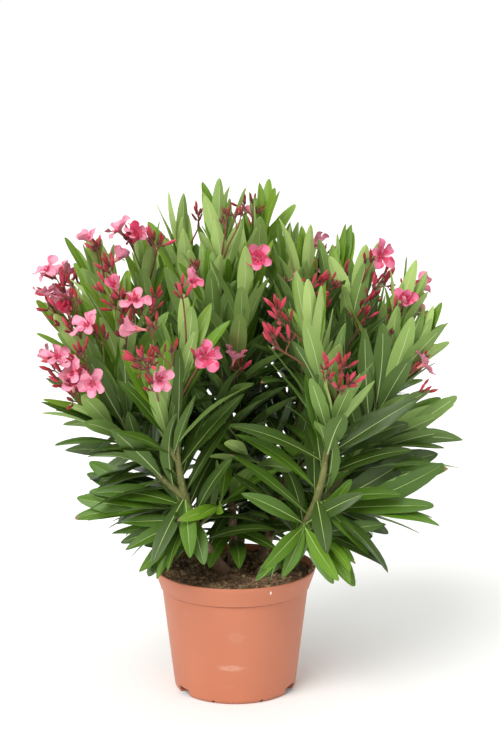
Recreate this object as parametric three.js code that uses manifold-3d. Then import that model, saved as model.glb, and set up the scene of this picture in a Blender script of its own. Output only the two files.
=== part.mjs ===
// A flowering oleander, about 0.6 m tall and 0.5 m across, in the 19 cm plastic pot it is sold in.
//
// Six woody stems rise from the peat and bow outwards. Side boughs spring from them, and every limb
// ends where it enters the tufts of leaves that it carries. Each tuft is one uneven closed solid on
// its own straight axis. Where two tufts, or a tuft and a limb, come close, the tuft stops at a plane
// between them, so that the solids never touch.
//
// Frame: millimetres, +Z up, the origin at the centre of the pot's flat underside, -Y to the front.
// A place round the pot is given by its turn (degrees from the front, positive to the right, +X),
// its reach (distance from the pot's axis) and its height.

import * as THREE from 'three';
import { mergeVertices } from 'three/addons/utils/BufferGeometryUtils.js';
import Module from 'manifold-3d';

// ---- driving dimensions ----

const GAP = 0.3; // clear space between pieces that meet
const JUST_UNDER = 1; // how far a cutting block starts under the pot

const POT = {
  height: 145,
  rimRadius: 95,
  rimBand: 23.5, // height of the band that stands out round the top
  rimEdge: 1, // rounding of the rim's outer edge
  bandTaper: 6.8, // how much narrower the band is at its foot than at the rim
  wallRadius: 85.5, // of the wall, just under the rim band
  step: 4.5, // height of the slope from the band in to the wall
  baseRadius: 72,
  corner: 5, // rounding where the wall meets the underside
  wall: 2.4,
  floor: 3,
  sides: 48,
};

const NOTCH = { height: 9, depth: 14, width: 17, turns: [-56, 64, 184] }; // width in degrees
const SLOT = { height: 3.5, depth: 8, width: 3.2, turns: [-20, 26, 102, 146, 222, 266] };

const SOIL = { edge: 139, crown: 4, ripple: 1.1, sides: 24 };
const SOIL_RINGS = [0.92, 0.7, 0.46, 0.22]; // rings across the top, as shares of its radius

const LIMB = { sides: 7, steps: 5 };
const CLEAR_OF_RIM = 5; // how far the lowest leaves stay above the top of the pot

// A tuft has rings from near its foot to near its tip (shares of its length), three long lobes that
// turn round it, and smaller ripples. Its foot stays clear of its limb by part of the limb's radius.
const TUFT = { sides: 9, rings: 8, foot: 0.06, top: 0.964, clear: 1.3, footGap: 1.8 };
const LOBES = { count: 3, depth: 0.17, turn: -2.4 };
const RIPPLES = { count: 5, depth: 0.08, turn: 11 };
const LIMB_CLEARANCE = 1.1; // radii of a limb that a tuft beside it stays away from its centre line

const FINISHES = {
  pot: { color: 0xdb8a68, roughness: 0.5 },
  soil: { color: 0x2e211b, roughness: 1 },
  bark: { color: 0x7a6650, roughness: 0.8 },
  green: { color: 0x5b7f3a, roughness: 0.7 },
  leaf: { color: 0x4f8a3c, roughness: 0.6 },
};

// ---- the plant ----

// Stems: where they leave the peat, where they end, and their radius at the foot. out and up say
// how they bow: the share of the way outwards and upwards of the point that the curve bends round.
const STEM_TAPER = 0.5; // radius at the end, as a share of the radius at the foot
const STEMS = [
  { name: 'stem_left', foot: [-38, 23], end: [-38, 104, 300], thick: 6.2, out: 0.82, up: 0.42 },
  { name: 'stem_right', foot: [58, 40], end: [48, 138, 308], thick: 6.0, out: 0.9, up: 0.4 },
  { name: 'stem_middle', foot: [-170, 12], end: [-164, 24, 352], thick: 5.4, out: 0.5, up: 0.6 },
  { name: 'stem_back_left', foot: [-122, 36], end: [-116, 104, 366], thick: 5.6, out: 0.8, up: 0.45 },
  { name: 'stem_back_right', foot: [130, 40], end: [118, 90, 350], thick: 5.6, out: 0.7, up: 0.45 },
  { name: 'stem_back', foot: [176, 46], end: [172, 120, 336], thick: 5.6, out: 0.75, up: 0.4 },
];

// Boughs: the stem that each springs from, and how far up that stem.
const BOUGHS = [
  { name: 'bough_left', from: 'stem_left', at: 0.68, end: [-63, 132, 316] },
  { name: 'bough_right', from: 'stem_right', at: 0.6, end: [73, 156, 310] },
  { name: 'bough_upper_left', from: 'stem_back_left', at: 0.66, end: [-89, 120, 362] },
  { name: 'bough_low_left', from: 'stem_back_left', at: 0.5, end: [-121, 148, 316] },
  { name: 'bough_top_left', from: 'stem_middle', at: 0.6, end: [-127, 58, 370] },
  { name: 'bough_top_right', from: 'stem_middle', at: 0.7, end: [160, 58, 372] },
  { name: 'bough_upper_right', from: 'stem_back_right', at: 0.62, end: [103, 126, 352] },
  { name: 'bough_low_right', from: 'stem_back_right', at: 0.5, end: [121, 156, 316] },
  { name: 'bough_back_left', from: 'stem_back', at: 0.46, end: [-153, 128, 332] },
  { name: 'bough_back_right', from: 'stem_back', at: 0.58, end: [147, 138, 332] },
];
const BOUGH_THICK = 3.6;
const BOUGH_THIN = 2.7;
const BOUGH_OUT = 0.62;
const BOUGH_UP = 0.4;

// Tufts of leaves and blossom: the limb, how far along it they start (1 is its end), where the tip
// is (turn, reach, height), the widest radius, and how flat they are seen end-on.
const TUFTS = [
  { name: 'leaves_far_left', on: 'bough_left', at: 1, tip: [-79, 226, 494], girth: 46 },
  { name: 'leaves_low_left', on: 'bough_left', at: 0.9, tip: [-64, 232, 398], girth: 46 },
  { name: 'leaves_mid_left', on: 'bough_left', at: 1, tip: [-69, 140, 505], girth: 36 },
  { name: 'leaves_front_left', on: 'stem_left', at: 0.97, tip: [-37, 168, 440], girth: 40 },
  { name: 'leaves_inner_left', on: 'stem_left', at: 1, tip: [-33, 80, 482], girth: 38 },
  { name: 'leaves_upper_left', on: 'bough_upper_left', at: 1, tip: [-97, 172, 540], girth: 40 },
  { name: 'leaves_high_left', on: 'stem_back_left', at: 1, tip: [-120, 134, 550], girth: 38 },
  { name: 'leaves_top_left', on: 'bough_top_left', at: 1, tip: [-128, 96, 578], girth: 34 },
  { name: 'leaves_top_front', on: 'stem_middle', at: 0.96, tip: [-98, 42, 545], girth: 36 },
  { name: 'leaves_top_middle', on: 'stem_middle', at: 1, tip: [-150, 50, 598], girth: 36 },
  { name: 'leaves_top_right', on: 'bough_top_right', at: 1, tip: [155, 82, 600], girth: 38 },
  { name: 'leaves_middle', on: 'stem_middle', at: 0.93, tip: [62, 24, 545], girth: 34 },
  { name: 'leaves_inner_right', on: 'stem_back_right', at: 0.96, tip: [148, 100, 560], girth: 34 },
  { name: 'leaves_upper_right', on: 'stem_back_right', at: 1, tip: [112, 86, 558], girth: 36 },
  { name: 'leaves_high_right', on: 'bough_upper_right', at: 0.96, tip: [131, 168, 552], girth: 38 },
  { name: 'leaves_flowering_right', on: 'bough_upper_right', at: 1, tip: [101, 160, 530], girth: 36 },
  { name: 'leaves_outer_right', on: 'bough_right', at: 1, tip: [88, 208, 508], girth: 38 },
  { name: 'leaves_side_right', on: 'bough_right', at: 0.97, tip: [80, 234, 468], girth: 36 },
  { name: 'leaves_far_right', on: 'bough_right', at: 0.8, tip: [88, 264, 350], girth: 46, flat: 0.8 },
  { name: 'leaves_front_right', on: 'stem_right', at: 1, tip: [42, 112, 500], girth: 38 },
  { name: 'leaves_low_right', on: 'stem_right', at: 0.95, tip: [39, 190, 434], girth: 38 },
  { name: 'leaves_back_left', on: 'bough_back_left', at: 1, tip: [-146, 160, 525], girth: 50 },
  { name: 'leaves_low_back_left', on: 'bough_back_left', at: 0.93, tip: [-157, 212, 430], girth: 50 },
  { name: 'leaves_back', on: 'stem_back', at: 1, tip: [175, 152, 560], girth: 50 },
  { name: 'leaves_low_back', on: 'stem_back', at: 0.94, tip: [177, 222, 440], girth: 50 },
  { name: 'leaves_back_right', on: 'bough_back_right', at: 1, tip: [143, 176, 530], girth: 50 },
  { name: 'leaves_low_back_right', on: 'bough_back_right', at: 0.93, tip: [152, 216, 430], girth: 50 },
  { name: 'leaves_side_left', on: 'bough_low_left', at: 1, tip: [-112, 206, 488], girth: 50 },
  { name: 'leaves_outer_left', on: 'bough_low_left', at: 0.93, tip: [-114, 232, 390], girth: 50, flat: 0.85 },
  { name: 'leaves_outer_back', on: 'bough_low_right', at: 1, tip: [113, 212, 482], girth: 50 },
  { name: 'leaves_side_back', on: 'bough_low_right', at: 0.93, tip: [115, 238, 384], girth: 50, flat: 0.85 },
  { name: 'skirt_left', on: 'stem_left', at: 0.6, tip: [-73, 190, 232], girth: 44, flat: 0.75 },
  { name: 'skirt_front_left', on: 'stem_left', at: 0.55, tip: [-36, 168, 182], girth: 42, flat: 0.7 },
  { name: 'skirt_inner_left', on: 'stem_left', at: 0.62, tip: [5, 96, 232], girth: 40, flat: 0.7 },
  { name: 'skirt_right', on: 'stem_right', at: 0.62, tip: [71, 250, 228], girth: 46, flat: 0.75 },
  { name: 'skirt_low_right', on: 'stem_right', at: 0.45, tip: [48, 198, 176], girth: 40, flat: 0.65 },
  { name: 'skirt_front_right', on: 'stem_right', at: 0.52, tip: [13, 156, 176], girth: 38, flat: 0.6 },
  { name: 'skirt_upper_right', on: 'bough_right', at: 0.4, tip: [86, 252, 290], girth: 44, flat: 0.8 },
  { name: 'leaves_low_middle', on: 'stem_middle', at: 0.5, tip: [-12, 70, 330], girth: 52, flat: 0.8 },
  { name: 'skirt_back_left', on: 'stem_back_left', at: 0.3, tip: [-116, 204, 234], girth: 56, flat: 0.75 },
  { name: 'skirt_back', on: 'stem_back', at: 0.46, tip: [176, 208, 232], girth: 58, flat: 0.75 },
  { name: 'skirt_back_right', on: 'stem_back_right', at: 0.3, tip: [116, 212, 234], girth: 56, flat: 0.75 },
];

// ---- geometry helpers ----

const radians = THREE.MathUtils.degToRad;

function place(turn, reach, height) {
  const angle = radians(turn);
  return new THREE.Vector3(reach * Math.sin(angle), -reach * Math.cos(angle), height);
}

// A closed solid through rings of points, each anticlockwise seen from the far end, with a point to
// close each end.
function ringSolid(first, rings, last) {
  const sides = rings[0].length;
  const points = [first, ...rings.flat(), last];
  const end = points.length - 1;
  const at = (ring, side) => 1 + ring * sides + (side % sides);
  const index = [];
  for (let side = 0; side < sides; side += 1) {
    index.push(0, at(0, side + 1), at(0, side));
    for (let ring = 0; ring < rings.length - 1; ring += 1) {
      index.push(at(ring, side), at(ring, side + 1), at(ring + 1, side + 1));
      index.push(at(ring, side), at(ring + 1, side + 1), at(ring + 1, side));
    }
    index.push(at(rings.length - 1, side), at(rings.length - 1, side + 1), end);
  }
  const geometry = new THREE.BufferGeometry().setFromPoints(points);
  geometry.setIndex(index);
  return geometry;
}

// Two directions square to an axis, so that across x over = axis.
function crossAxes(axis) {
  const up = Math.abs(axis.z) > 0.98 ? new THREE.Vector3(0, 1, 0) : new THREE.Vector3(0, 0, 1);
  const across = new THREE.Vector3().crossVectors(up, axis).normalize();
  const over = new THREE.Vector3().crossVectors(axis, across).normalize();
  return { across, over };
}

function spoke({ across, over }, angle) {
  return across.clone().multiplyScalar(Math.cos(angle)).addScaledVector(over, Math.sin(angle));
}

function steps(count) {
  return Array.from({ length: count }, (_, i) => i);
}

// Nearest points of two straight segments.
function nearest(a0, a1, b0, b1) {
  const u = a1.clone().sub(a0);
  const v = b1.clone().sub(b0);
  const w = a0.clone().sub(b0);
  const uu = u.dot(u);
  const uv = u.dot(v);
  const vv = v.dot(v);
  const clamp = (x) => THREE.MathUtils.clamp(x, 0, 1);
  const slant = uu * vv - uv * uv;
  let s = slant > 1e-9 ? clamp((uv * v.dot(w) - vv * u.dot(w)) / slant) : 0;
  const t = clamp((uv * s + v.dot(w)) / vv);
  s = clamp((uv * t - u.dot(w)) / uu);
  return [a0.clone().addScaledVector(u, s), b0.clone().addScaledVector(v, t)];
}

// ---- solids for manifold ----

const manifold = await Module();
manifold.setup();

function toManifold(geometry) {
  const bare = geometry.clone();
  bare.deleteAttribute('normal');
  bare.deleteAttribute('uv');
  const merged = mergeVertices(bare, 1e-4);
  return new manifold.Manifold(
    new manifold.Mesh({
      numProp: 3,
      vertProperties: new Float32Array(merged.attributes.position.array),
      triVerts: new Uint32Array(merged.index.array),
    }),
  );
}

function toGeometry(solid) {
  const mesh = solid.getMesh();
  const geometry = new THREE.BufferGeometry();
  geometry.setAttribute('position', new THREE.BufferAttribute(mesh.vertProperties, 3));
  geometry.setIndex(new THREE.BufferAttribute(mesh.triVerts, 1));
  return geometry;
}

// ---- pot ----

// Radius of the outside of the pot's plain wall at a height.
function wallRadiusAt(height) {
  const top = POT.height - POT.rimBand - POT.step;
  return THREE.MathUtils.lerp(POT.baseRadius, POT.wallRadius, height / top);
}

// Radius of the outside of the rim band at a height.
function bandRadiusAt(height) {
  const share = (POT.height - height) / POT.rimBand;
  return POT.rimRadius - POT.bandTaper * share;
}

const CORNER_CUT = 0.3; // share of the corner that its one facet leaves at each side

function potGeometry() {
  const { height, rimRadius, rimEdge, wallRadius, step, baseRadius, corner, wall, floor } = POT;
  const bandFoot = height - POT.rimBand;
  const outside = [
    [0, 0],
    [baseRadius - corner, 0],
    [baseRadius - corner * CORNER_CUT, corner * CORNER_CUT],
    [wallRadiusAt(corner), corner],
    [wallRadius, bandFoot - step],
    [bandRadiusAt(bandFoot), bandFoot],
    [rimRadius, height - rimEdge],
    [rimRadius - rimEdge, height],
  ];
  const inside = [
    [rimRadius - wall, height],
    [bandRadiusAt(bandFoot) - wall, bandFoot],
    [wallRadius - wall, bandFoot - step],
    [wallRadiusAt(floor) - wall, floor],
    [0, floor],
  ];
  const profile = [...outside, ...inside].map(([radius, z]) => new THREE.Vector2(radius, z));
  let solid = toManifold(new THREE.LatheGeometry(profile, POT.sides).rotateX(Math.PI / 2));
  for (const hole of [NOTCH, SLOT]) {
    for (const turn of hole.turns) solid = solid.subtract(toManifold(holeGeometry(hole, turn)));
  }
  return toGeometry(solid);
}

// A drainage opening: a curved block through the foot of the wall and the edge of the floor.
function holeGeometry({ height, depth, width }, turn) {
  const half = radians(width / 2);
  const middle = radians(turn) - Math.PI / 2;
  const outline = new THREE.Shape();
  outline.absarc(0, 0, POT.baseRadius + POT.wall, middle - half, middle + half, false);
  outline.absarc(0, 0, POT.baseRadius - depth, middle + half, middle - half, true);
  const settings = { depth: height + JUST_UNDER, bevelEnabled: false, curveSegments: 6 };
  return new THREE.ExtrudeGeometry(outline, settings).translate(0, 0, -JUST_UNDER);
}

// ---- soil ----

// Height of the peat's uneven surface.
function soilHeight(x, y) {
  const { edge, crown, ripple } = SOIL;
  const share = Math.hypot(x, y) / (POT.rimRadius - POT.wall);
  const ripples = Math.sin(x * 0.13 + 1) + Math.cos(y * 0.11 - x * 0.05);
  return edge + crown * (1 - share * share) + ripple * ripples;
}

function soilGeometry() {
  const inner = POT.wall + GAP;
  const bandFoot = POT.height - POT.rimBand;
  const ring = (radius, z) =>
    steps(SOIL.sides).map((i) => {
      const angle = (i / SOIL.sides) * 2 * Math.PI;
      const x = radius * Math.cos(angle);
      const y = radius * Math.sin(angle);
      return new THREE.Vector3(x, y, z ?? soilHeight(x, y));
    });
  const fit = (radius) => (radius - inner) * Math.cos(Math.PI / POT.sides) - GAP;
  const rim = fit(bandRadiusAt(SOIL.edge - 2 * SOIL.ripple));
  const rings = [
    ring(fit(wallRadiusAt(POT.floor)), POT.floor + GAP),
    ring(fit(POT.wallRadius), bandFoot - POT.step),
    ring(fit(bandRadiusAt(bandFoot)), bandFoot + GAP),
    ring(rim),
    ...SOIL_RINGS.map((share) => ring(rim * share)),
  ];
  return ringSolid(
    new THREE.Vector3(0, 0, POT.floor + GAP),
    rings,
    new THREE.Vector3(0, 0, soilHeight(0, 0)),
  );
}

// ---- limbs ----

// The bowed centre line of a limb, from its root to its end.
function limbCurve(root, end, out, up) {
  const bend = new THREE.Vector3(
    THREE.MathUtils.lerp(root.x, end.x, out),
    THREE.MathUtils.lerp(root.y, end.y, out),
    THREE.MathUtils.lerp(root.z, end.z, up),
  );
  return new THREE.QuadraticBezierCurve3(root, bend, end);
}

function limbRadius(limb, t) {
  return THREE.MathUtils.lerp(limb.thick, limb.thin, t);
}

// A tapering limb. Its first ring lies in the plane given by seat (a point and a normal), which is
// the peat for a stem and the parent's side for a bough.
function limbGeometry(limb) {
  const { curve, seat } = limb;
  const rings = steps(LIMB.steps + 1).map((i) => {
    const t = i / LIMB.steps;
    const centre = curve.getPoint(t);
    const tangent = curve.getTangent(t);
    const axes = crossAxes(tangent);
    return steps(LIMB.sides).map((side) => {
      const angle = (side / LIMB.sides) * 2 * Math.PI;
      const point = centre.clone().addScaledVector(spoke(axes, angle), limbRadius(limb, t));
      if (i > 0) return point;
      const slide = seat.point.clone().sub(point).dot(seat.normal) / tangent.dot(seat.normal);
      return point.addScaledVector(tangent, slide);
    });
  });
  const middle = (ring) =>
    ring.reduce((sum, point) => sum.add(point), new THREE.Vector3()).divideScalar(ring.length);
  return ringSolid(middle(rings[0]), rings, middle(rings.at(-1)));
}

function makeStem(row) {
  const [turn, reach] = row.foot;
  const root = place(turn, reach, 0);
  root.z = soilHeight(root.x, root.y) + 2 * SOIL.ripple;
  const curve = limbCurve(root, place(...row.end), row.out, row.up);
  const seat = { point: root, normal: new THREE.Vector3(0, 0, 1) };
  return { ...row, curve, seat, thin: row.thick * STEM_TAPER };
}

function makeBough(row, stem) {
  const root = stem.curve.getPoint(row.at);
  const along = stem.curve.getTangent(row.at);
  const end = place(...row.end);
  const start = limbCurve(root, end, BOUGH_OUT, BOUGH_UP).getTangent(0);
  const normal = start.clone().addScaledVector(along, -start.dot(along)).normalize();
  const side = limbRadius(stem, row.at) + GAP;
  const seat = { point: root.clone().addScaledVector(normal, side), normal };
  const away = root.clone().addScaledVector(start, side / start.dot(normal));
  const curve = limbCurve(away, end, BOUGH_OUT, BOUGH_UP);
  return { ...row, curve, seat, thick: BOUGH_THICK, thin: BOUGH_THIN };
}

// ---- tufts ----

// The straight axis of a tuft, from just clear of its limb to its tip.
function makeTuft(row, limb) {
  const root = limb.curve.getPoint(row.at);
  const tip = place(...row.tip);
  const away = tip.clone().sub(root).normalize();
  if (row.at < 1) {
    const along = limb.curve.getTangent(row.at);
    away.addScaledVector(along, -away.dot(along)).normalize();
  }
  const foot = root.addScaledVector(away, limbRadius(limb, row.at) * TUFT.clear + TUFT.footGap);
  return { flat: 1, ...row, foot, tip };
}

// How wide a tuft is along its axis, as a share of its girth: its lower leaves spread, so it swells
// quickly from the foot, and its young ones stand up, so it narrows slowly to the tip.
function swell(s) {
  return Math.sin(Math.PI * s ** 0.72) ** 0.6;
}

// The planes that a tuft stays behind: between it and each other tuft, shared out by girth, between
// it and each stretch of each limb, and over the pot.
function tuftWalls(tuft, tufts, limbs) {
  const walls = [{ normal: new THREE.Vector3(0, 0, -1), limit: -(POT.height + CLEAR_OF_RIM) }];
  const addWall = (mine, theirs, keep) => {
    const normal = theirs.clone().sub(mine);
    const distance = normal.length();
    normal.divideScalar(distance);
    walls.push({ normal, limit: normal.dot(mine) + keep(distance) });
  };
  for (const other of tufts) {
    if (other === tuft) continue;
    const [mine, theirs] = nearest(tuft.foot, tuft.tip, other.foot, other.tip);
    addWall(mine, theirs, (d) => (d * tuft.girth) / (tuft.girth + other.girth) - GAP);
  }
  for (const limb of limbs) {
    for (const i of steps(LIMB.steps)) {
      const [a, b] = [i, i + 1].map((k) => limb.curve.getPoint(k / LIMB.steps));
      const [mine, theirs] = nearest(tuft.foot, tuft.tip, a, b);
      addWall(mine, theirs, (d) => d - limbRadius(limb, i / LIMB.steps) * LIMB_CLEARANCE - GAP);
    }
  }
  return walls;
}

// The share that a set of lobes adds to a tuft's radius. number makes each tuft's own pattern.
function wave({ count, depth, turn }, angle, s, number) {
  return 1 + depth * Math.cos(count * angle + turn * s + number);
}

function tuftGeometry(tuft, number, walls) {
  const axis = tuft.tip.clone().sub(tuft.foot).normalize();
  const axes = crossAxes(axis);
  const rings = steps(TUFT.rings).map((i) => {
    const s = THREE.MathUtils.lerp(TUFT.foot, TUFT.top, i / (TUFT.rings - 1));
    const centre = tuft.foot.clone().lerp(tuft.tip, s);
    return steps(TUFT.sides).map((side) => {
      const angle = (side / TUFT.sides) * 2 * Math.PI;
      const lobes = wave(LOBES, angle, s, number);
      const ripples = wave(RIPPLES, angle, s, 2 * number);
      const out = spoke(axes, angle);
      const squash = 1 / Math.hypot(Math.cos(angle), Math.sin(angle) / tuft.flat);
      let radius = tuft.girth * swell(s) * lobes * ripples * squash;
      for (const { normal, limit } of walls) {
        const towards = normal.dot(out);
        if (towards > 1e-6) radius = Math.min(radius, (limit - normal.dot(centre)) / towards);
      }
      return centre.clone().addScaledVector(out, Math.max(radius, GAP));
    });
  });
  return ringSolid(tuft.foot, rings, tuft.tip);
}

// ---- assembly ----

const group = new THREE.Group();

function addPiece(name, geometry, finish) {
  const material = new THREE.MeshStandardMaterial({ ...finish, metalness: 0 });
  const mesh = new THREE.Mesh(geometry, material);
  mesh.name = name;
  group.add(mesh);
}

const stems = STEMS.map(makeStem);
const boughs = BOUGHS.map((row) => makeBough(row, stems.find((stem) => stem.name === row.from)));
const limbs = [...stems, ...boughs];
const tufts = TUFTS.map((row) => makeTuft(row, limbs.find((limb) => limb.name === row.on)));

addPiece('pot', potGeometry(), FINISHES.pot);
addPiece('soil', soilGeometry(), FINISHES.soil);
for (const stem of stems) addPiece(stem.name, limbGeometry(stem), FINISHES.bark);
for (const bough of boughs) addPiece(bough.name, limbGeometry(bough), FINISHES.green);
tufts.forEach((tuft, number) => {
  addPiece(tuft.name, tuftGeometry(tuft, number, tuftWalls(tuft, tufts, limbs)), FINISHES.leaf);
});

export default group;
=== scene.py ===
import math
import random

import bmesh
import bpy
import numpy as np
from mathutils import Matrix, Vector, noise
from mathutils.bvhtree import BVHTree


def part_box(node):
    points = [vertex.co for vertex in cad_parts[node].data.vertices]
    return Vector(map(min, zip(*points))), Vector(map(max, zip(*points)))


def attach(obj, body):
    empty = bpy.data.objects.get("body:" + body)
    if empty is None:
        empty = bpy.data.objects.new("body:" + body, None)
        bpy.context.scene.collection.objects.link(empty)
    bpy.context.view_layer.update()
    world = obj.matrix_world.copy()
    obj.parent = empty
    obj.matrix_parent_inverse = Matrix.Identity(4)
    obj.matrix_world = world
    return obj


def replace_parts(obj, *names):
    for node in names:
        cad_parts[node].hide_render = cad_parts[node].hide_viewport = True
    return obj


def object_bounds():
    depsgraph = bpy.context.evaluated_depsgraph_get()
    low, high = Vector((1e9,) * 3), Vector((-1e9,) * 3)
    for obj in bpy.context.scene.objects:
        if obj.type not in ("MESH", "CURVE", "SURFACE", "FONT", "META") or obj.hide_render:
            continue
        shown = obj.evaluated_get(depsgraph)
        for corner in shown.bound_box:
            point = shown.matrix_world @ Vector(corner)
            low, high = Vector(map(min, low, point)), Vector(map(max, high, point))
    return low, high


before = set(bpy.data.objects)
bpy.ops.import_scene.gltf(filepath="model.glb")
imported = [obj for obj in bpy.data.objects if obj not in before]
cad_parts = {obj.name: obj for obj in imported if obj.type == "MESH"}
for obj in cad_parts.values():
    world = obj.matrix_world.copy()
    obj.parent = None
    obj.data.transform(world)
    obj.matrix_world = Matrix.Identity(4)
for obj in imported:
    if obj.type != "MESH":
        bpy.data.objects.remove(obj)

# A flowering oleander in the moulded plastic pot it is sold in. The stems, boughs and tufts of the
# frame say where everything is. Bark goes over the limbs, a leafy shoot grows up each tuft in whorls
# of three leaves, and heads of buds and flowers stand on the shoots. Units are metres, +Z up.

cad_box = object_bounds()

MM = 0.001
MOST_FACES = 95000  # four-sided faces in one joined piece, which is 190,000 triangles
UP = np.array((0.0, 0.0, 1.0))
FRONT = np.array((0.0, -1.0, 0.0))

# ---- camera ----

CAMERA_PLACE = (0.0182, -1.7, 0.6534)
CAMERA_DOWN = math.radians(9.43)
SENSOR_WIDTH = 36.0  # mm
FOCAL_LENGTH = 71.43  # mm

lens = bpy.data.cameras.new("camera")
lens.sensor_width = SENSOR_WIDTH
lens.lens = FOCAL_LENGTH
camera = bpy.data.objects.new("camera", lens)
camera.location = CAMERA_PLACE
camera.rotation_euler = (math.pi / 2 - CAMERA_DOWN, 0.0, 0.0)
bpy.context.scene.collection.objects.link(camera)
bpy.context.scene.camera = camera


# ---- working with finishes ----

def linear(code):
    """An sRGB hex colour as linear red, green, blue and alpha."""
    parts = [int(code[i:i + 2], 16) / 255 for i in (1, 3, 5)]
    return tuple(p / 12.92 if p <= 0.04045 else ((p + 0.055) / 1.055) ** 2.4 for p in parts) + (1.0,)


def add(tree, kind, settings=None, links=None):
    """Adds a shader node. Settings are its own properties or its inputs' values, links feed its inputs."""
    node = tree.nodes.new("ShaderNode" + kind)
    for key, value in (settings or {}).items():
        if isinstance(key, str) and hasattr(node, key):
            setattr(node, key, value)
        else:
            node.inputs[key].default_value = value
    for key, source in (links or {}).items():
        tree.links.new(source, node.inputs[key])
    return node


def blank(name):
    """A material with an empty tree."""
    material = bpy.data.materials.new(name)
    material.use_nodes = True
    material.node_tree.nodes.clear()
    return material, material.node_tree


# ---- finishes ----

# How many there are to the metre of each kind of grain.
BARK_WRINKLES = 420.0  # 2.4 mm wide
BARK_PATCHES = 60.0  # 17 mm
BARK_SPECKS = 260.0  # 3.8 mm apart
MARK_STREAKS = 170.0  # 6 mm
FLOW_CLOUDS = 14.0  # 70 mm
SCUFFS = 22.0  # 45 mm
SKIN_GRAIN = 900.0  # 1.1 mm
PEAT_CRUMBS = 240.0  # 4 mm, with finer crumbs in them
DRIED_PATCHES = 45.0  # 22 mm


def surface(tree, settings, relief, shine, colour=None):
    """Ends a finish. relief is a source of height, its strength and its depth. shine is a source and
    the two roughnesses that it runs between. colour is a source, for a colour that varies."""
    height, strength, depth = relief
    gloss, smoothest, roughest = shine
    bump = add(tree, "Bump", {"Strength": strength, "Distance": depth}, {"Height": height})
    rough = add(tree, "MapRange", {"To Min": smoothest, "To Max": roughest}, {"Value": gloss})
    links = {"Roughness": rough.outputs[0], "Normal": bump.outputs[0]}
    if colour is not None:
        links["Base Color"] = colour
    shader = add(tree, "BsdfPrincipled", settings, links)
    add(tree, "OutputMaterial", links={"Surface": shader.outputs[0]})


def leaf_skin(name, colour, shine, vein_depth):
    """Leathery oleander leaf: a waxy cuticle that gives a broad soft sheen, crossed by fine side veins.
    The veins are about 1 mm apart on the plant and are drawn at 2.2 mm so that they show."""
    material, tree = blank(name)
    span = add(tree, "UVMap", {"uv_map": "span"})
    parts = add(tree, "SeparateXYZ", links={0: span.outputs[0]})
    aside = add(tree, "Math", {"operation": "ABSOLUTE"}, {0: parts.outputs["X"]})
    slant = add(tree, "Math", {"operation": "MULTIPLY_ADD", 1: -0.6},
                {0: aside.outputs[0], 2: parts.outputs["Y"]})
    place = add(tree, "CombineXYZ", links={"Y": slant.outputs[0]})
    veins = add(tree, "TexWave",
                {"bands_direction": "Y", "Scale": 0.143, "Distortion": 1.2, "Detail": 2.0,
                 "Detail Scale": 0.5},
                {"Vector": place.outputs[0]})
    clouds = add(tree, "TexNoise", {"Scale": 0.12, "Detail": 3.0}, {"Vector": span.outputs[0]})  # 8 mm
    surface(tree, {"Base Color": linear(colour), "IOR": 1.45}, (veins.outputs["Fac"], vein_depth, 0.2 * MM),
            (clouds.outputs["Fac"], shine - 0.07, shine + 0.09))
    return material


def soft_tissue(name, colour, shine, grain):
    """Petal, bud and flower stalk: thin matt cells with a faint velvet and fine lengthwise streaks,
    which are drawn 1 mm wide so that they show."""
    material, tree = blank(name)
    span = add(tree, "UVMap", {"uv_map": "span"})
    stretch = add(tree, "Mapping", {"Scale": (1.0, 0.12, 1.0)}, {"Vector": span.outputs[0]})
    streaks = add(tree, "TexNoise", {"Scale": 1.0, "Detail": 2.0}, {"Vector": stretch.outputs[0]})
    surface(tree, {"Base Color": linear(colour), "IOR": 1.4, "Sheen Weight": 0.15, "Sheen Roughness": 0.5},
            (streaks.outputs["Fac"], grain, 0.15 * MM), (streaks.outputs["Fac"], shine - 0.08, shine + 0.1))
    return material


def stem_bark(name, dark, light, lenticel, shine):
    """Oleander bark: a thin grey-brown skin, still green on young wood, with pale corky specks and
    shallow wrinkles, both drawn out upwards. The eye gets a matt, faintly mottled stick."""
    material, tree = blank(name)
    place = add(tree, "TexCoord").outputs["Object"]
    stretch = add(tree, "Mapping", {"Scale": (1.0, 1.0, 0.3)}, {"Vector": place})
    wrinkles = add(tree, "TexNoise", {"Scale": BARK_WRINKLES, "Detail": 5.0, "Roughness": 0.6},
                   {"Vector": stretch.outputs[0]})
    patches = add(tree, "TexNoise", {"Scale": BARK_PATCHES, "Detail": 3.0}, {"Vector": place})
    specks = add(tree, "TexVoronoi", {"Scale": BARK_SPECKS}, {"Vector": stretch.outputs[0]})
    corky = add(tree, "MapRange", {"From Min": 0.12, "From Max": 0.24, "To Min": 1.0, "To Max": 0.0},
                {"Value": specks.outputs["Distance"]})
    mixed = add(tree, "Math", {"operation": "MULTIPLY_ADD", 1: 0.5},
                {0: wrinkles.outputs["Fac"], 2: patches.outputs["Fac"]})
    tone = add(tree, "MapRange", {"From Min": 0.5, "From Max": 1.0}, {"Value": mixed.outputs[0]})
    ground = add(tree, "Mix", {"data_type": "RGBA", 6: linear(dark), 7: linear(light)}, {0: tone.outputs[0]})
    colour = add(tree, "Mix", {"data_type": "RGBA", 7: linear(lenticel)},
                 {0: corky.outputs[0], 6: ground.outputs[2]})
    surface(tree, {"IOR": 1.45}, (mixed.outputs[0], 0.5, 0.4 * MM),
            (wrinkles.outputs["Fac"], shine - 0.1, shine + 0.1), colour.outputs[2])
    return material
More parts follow.
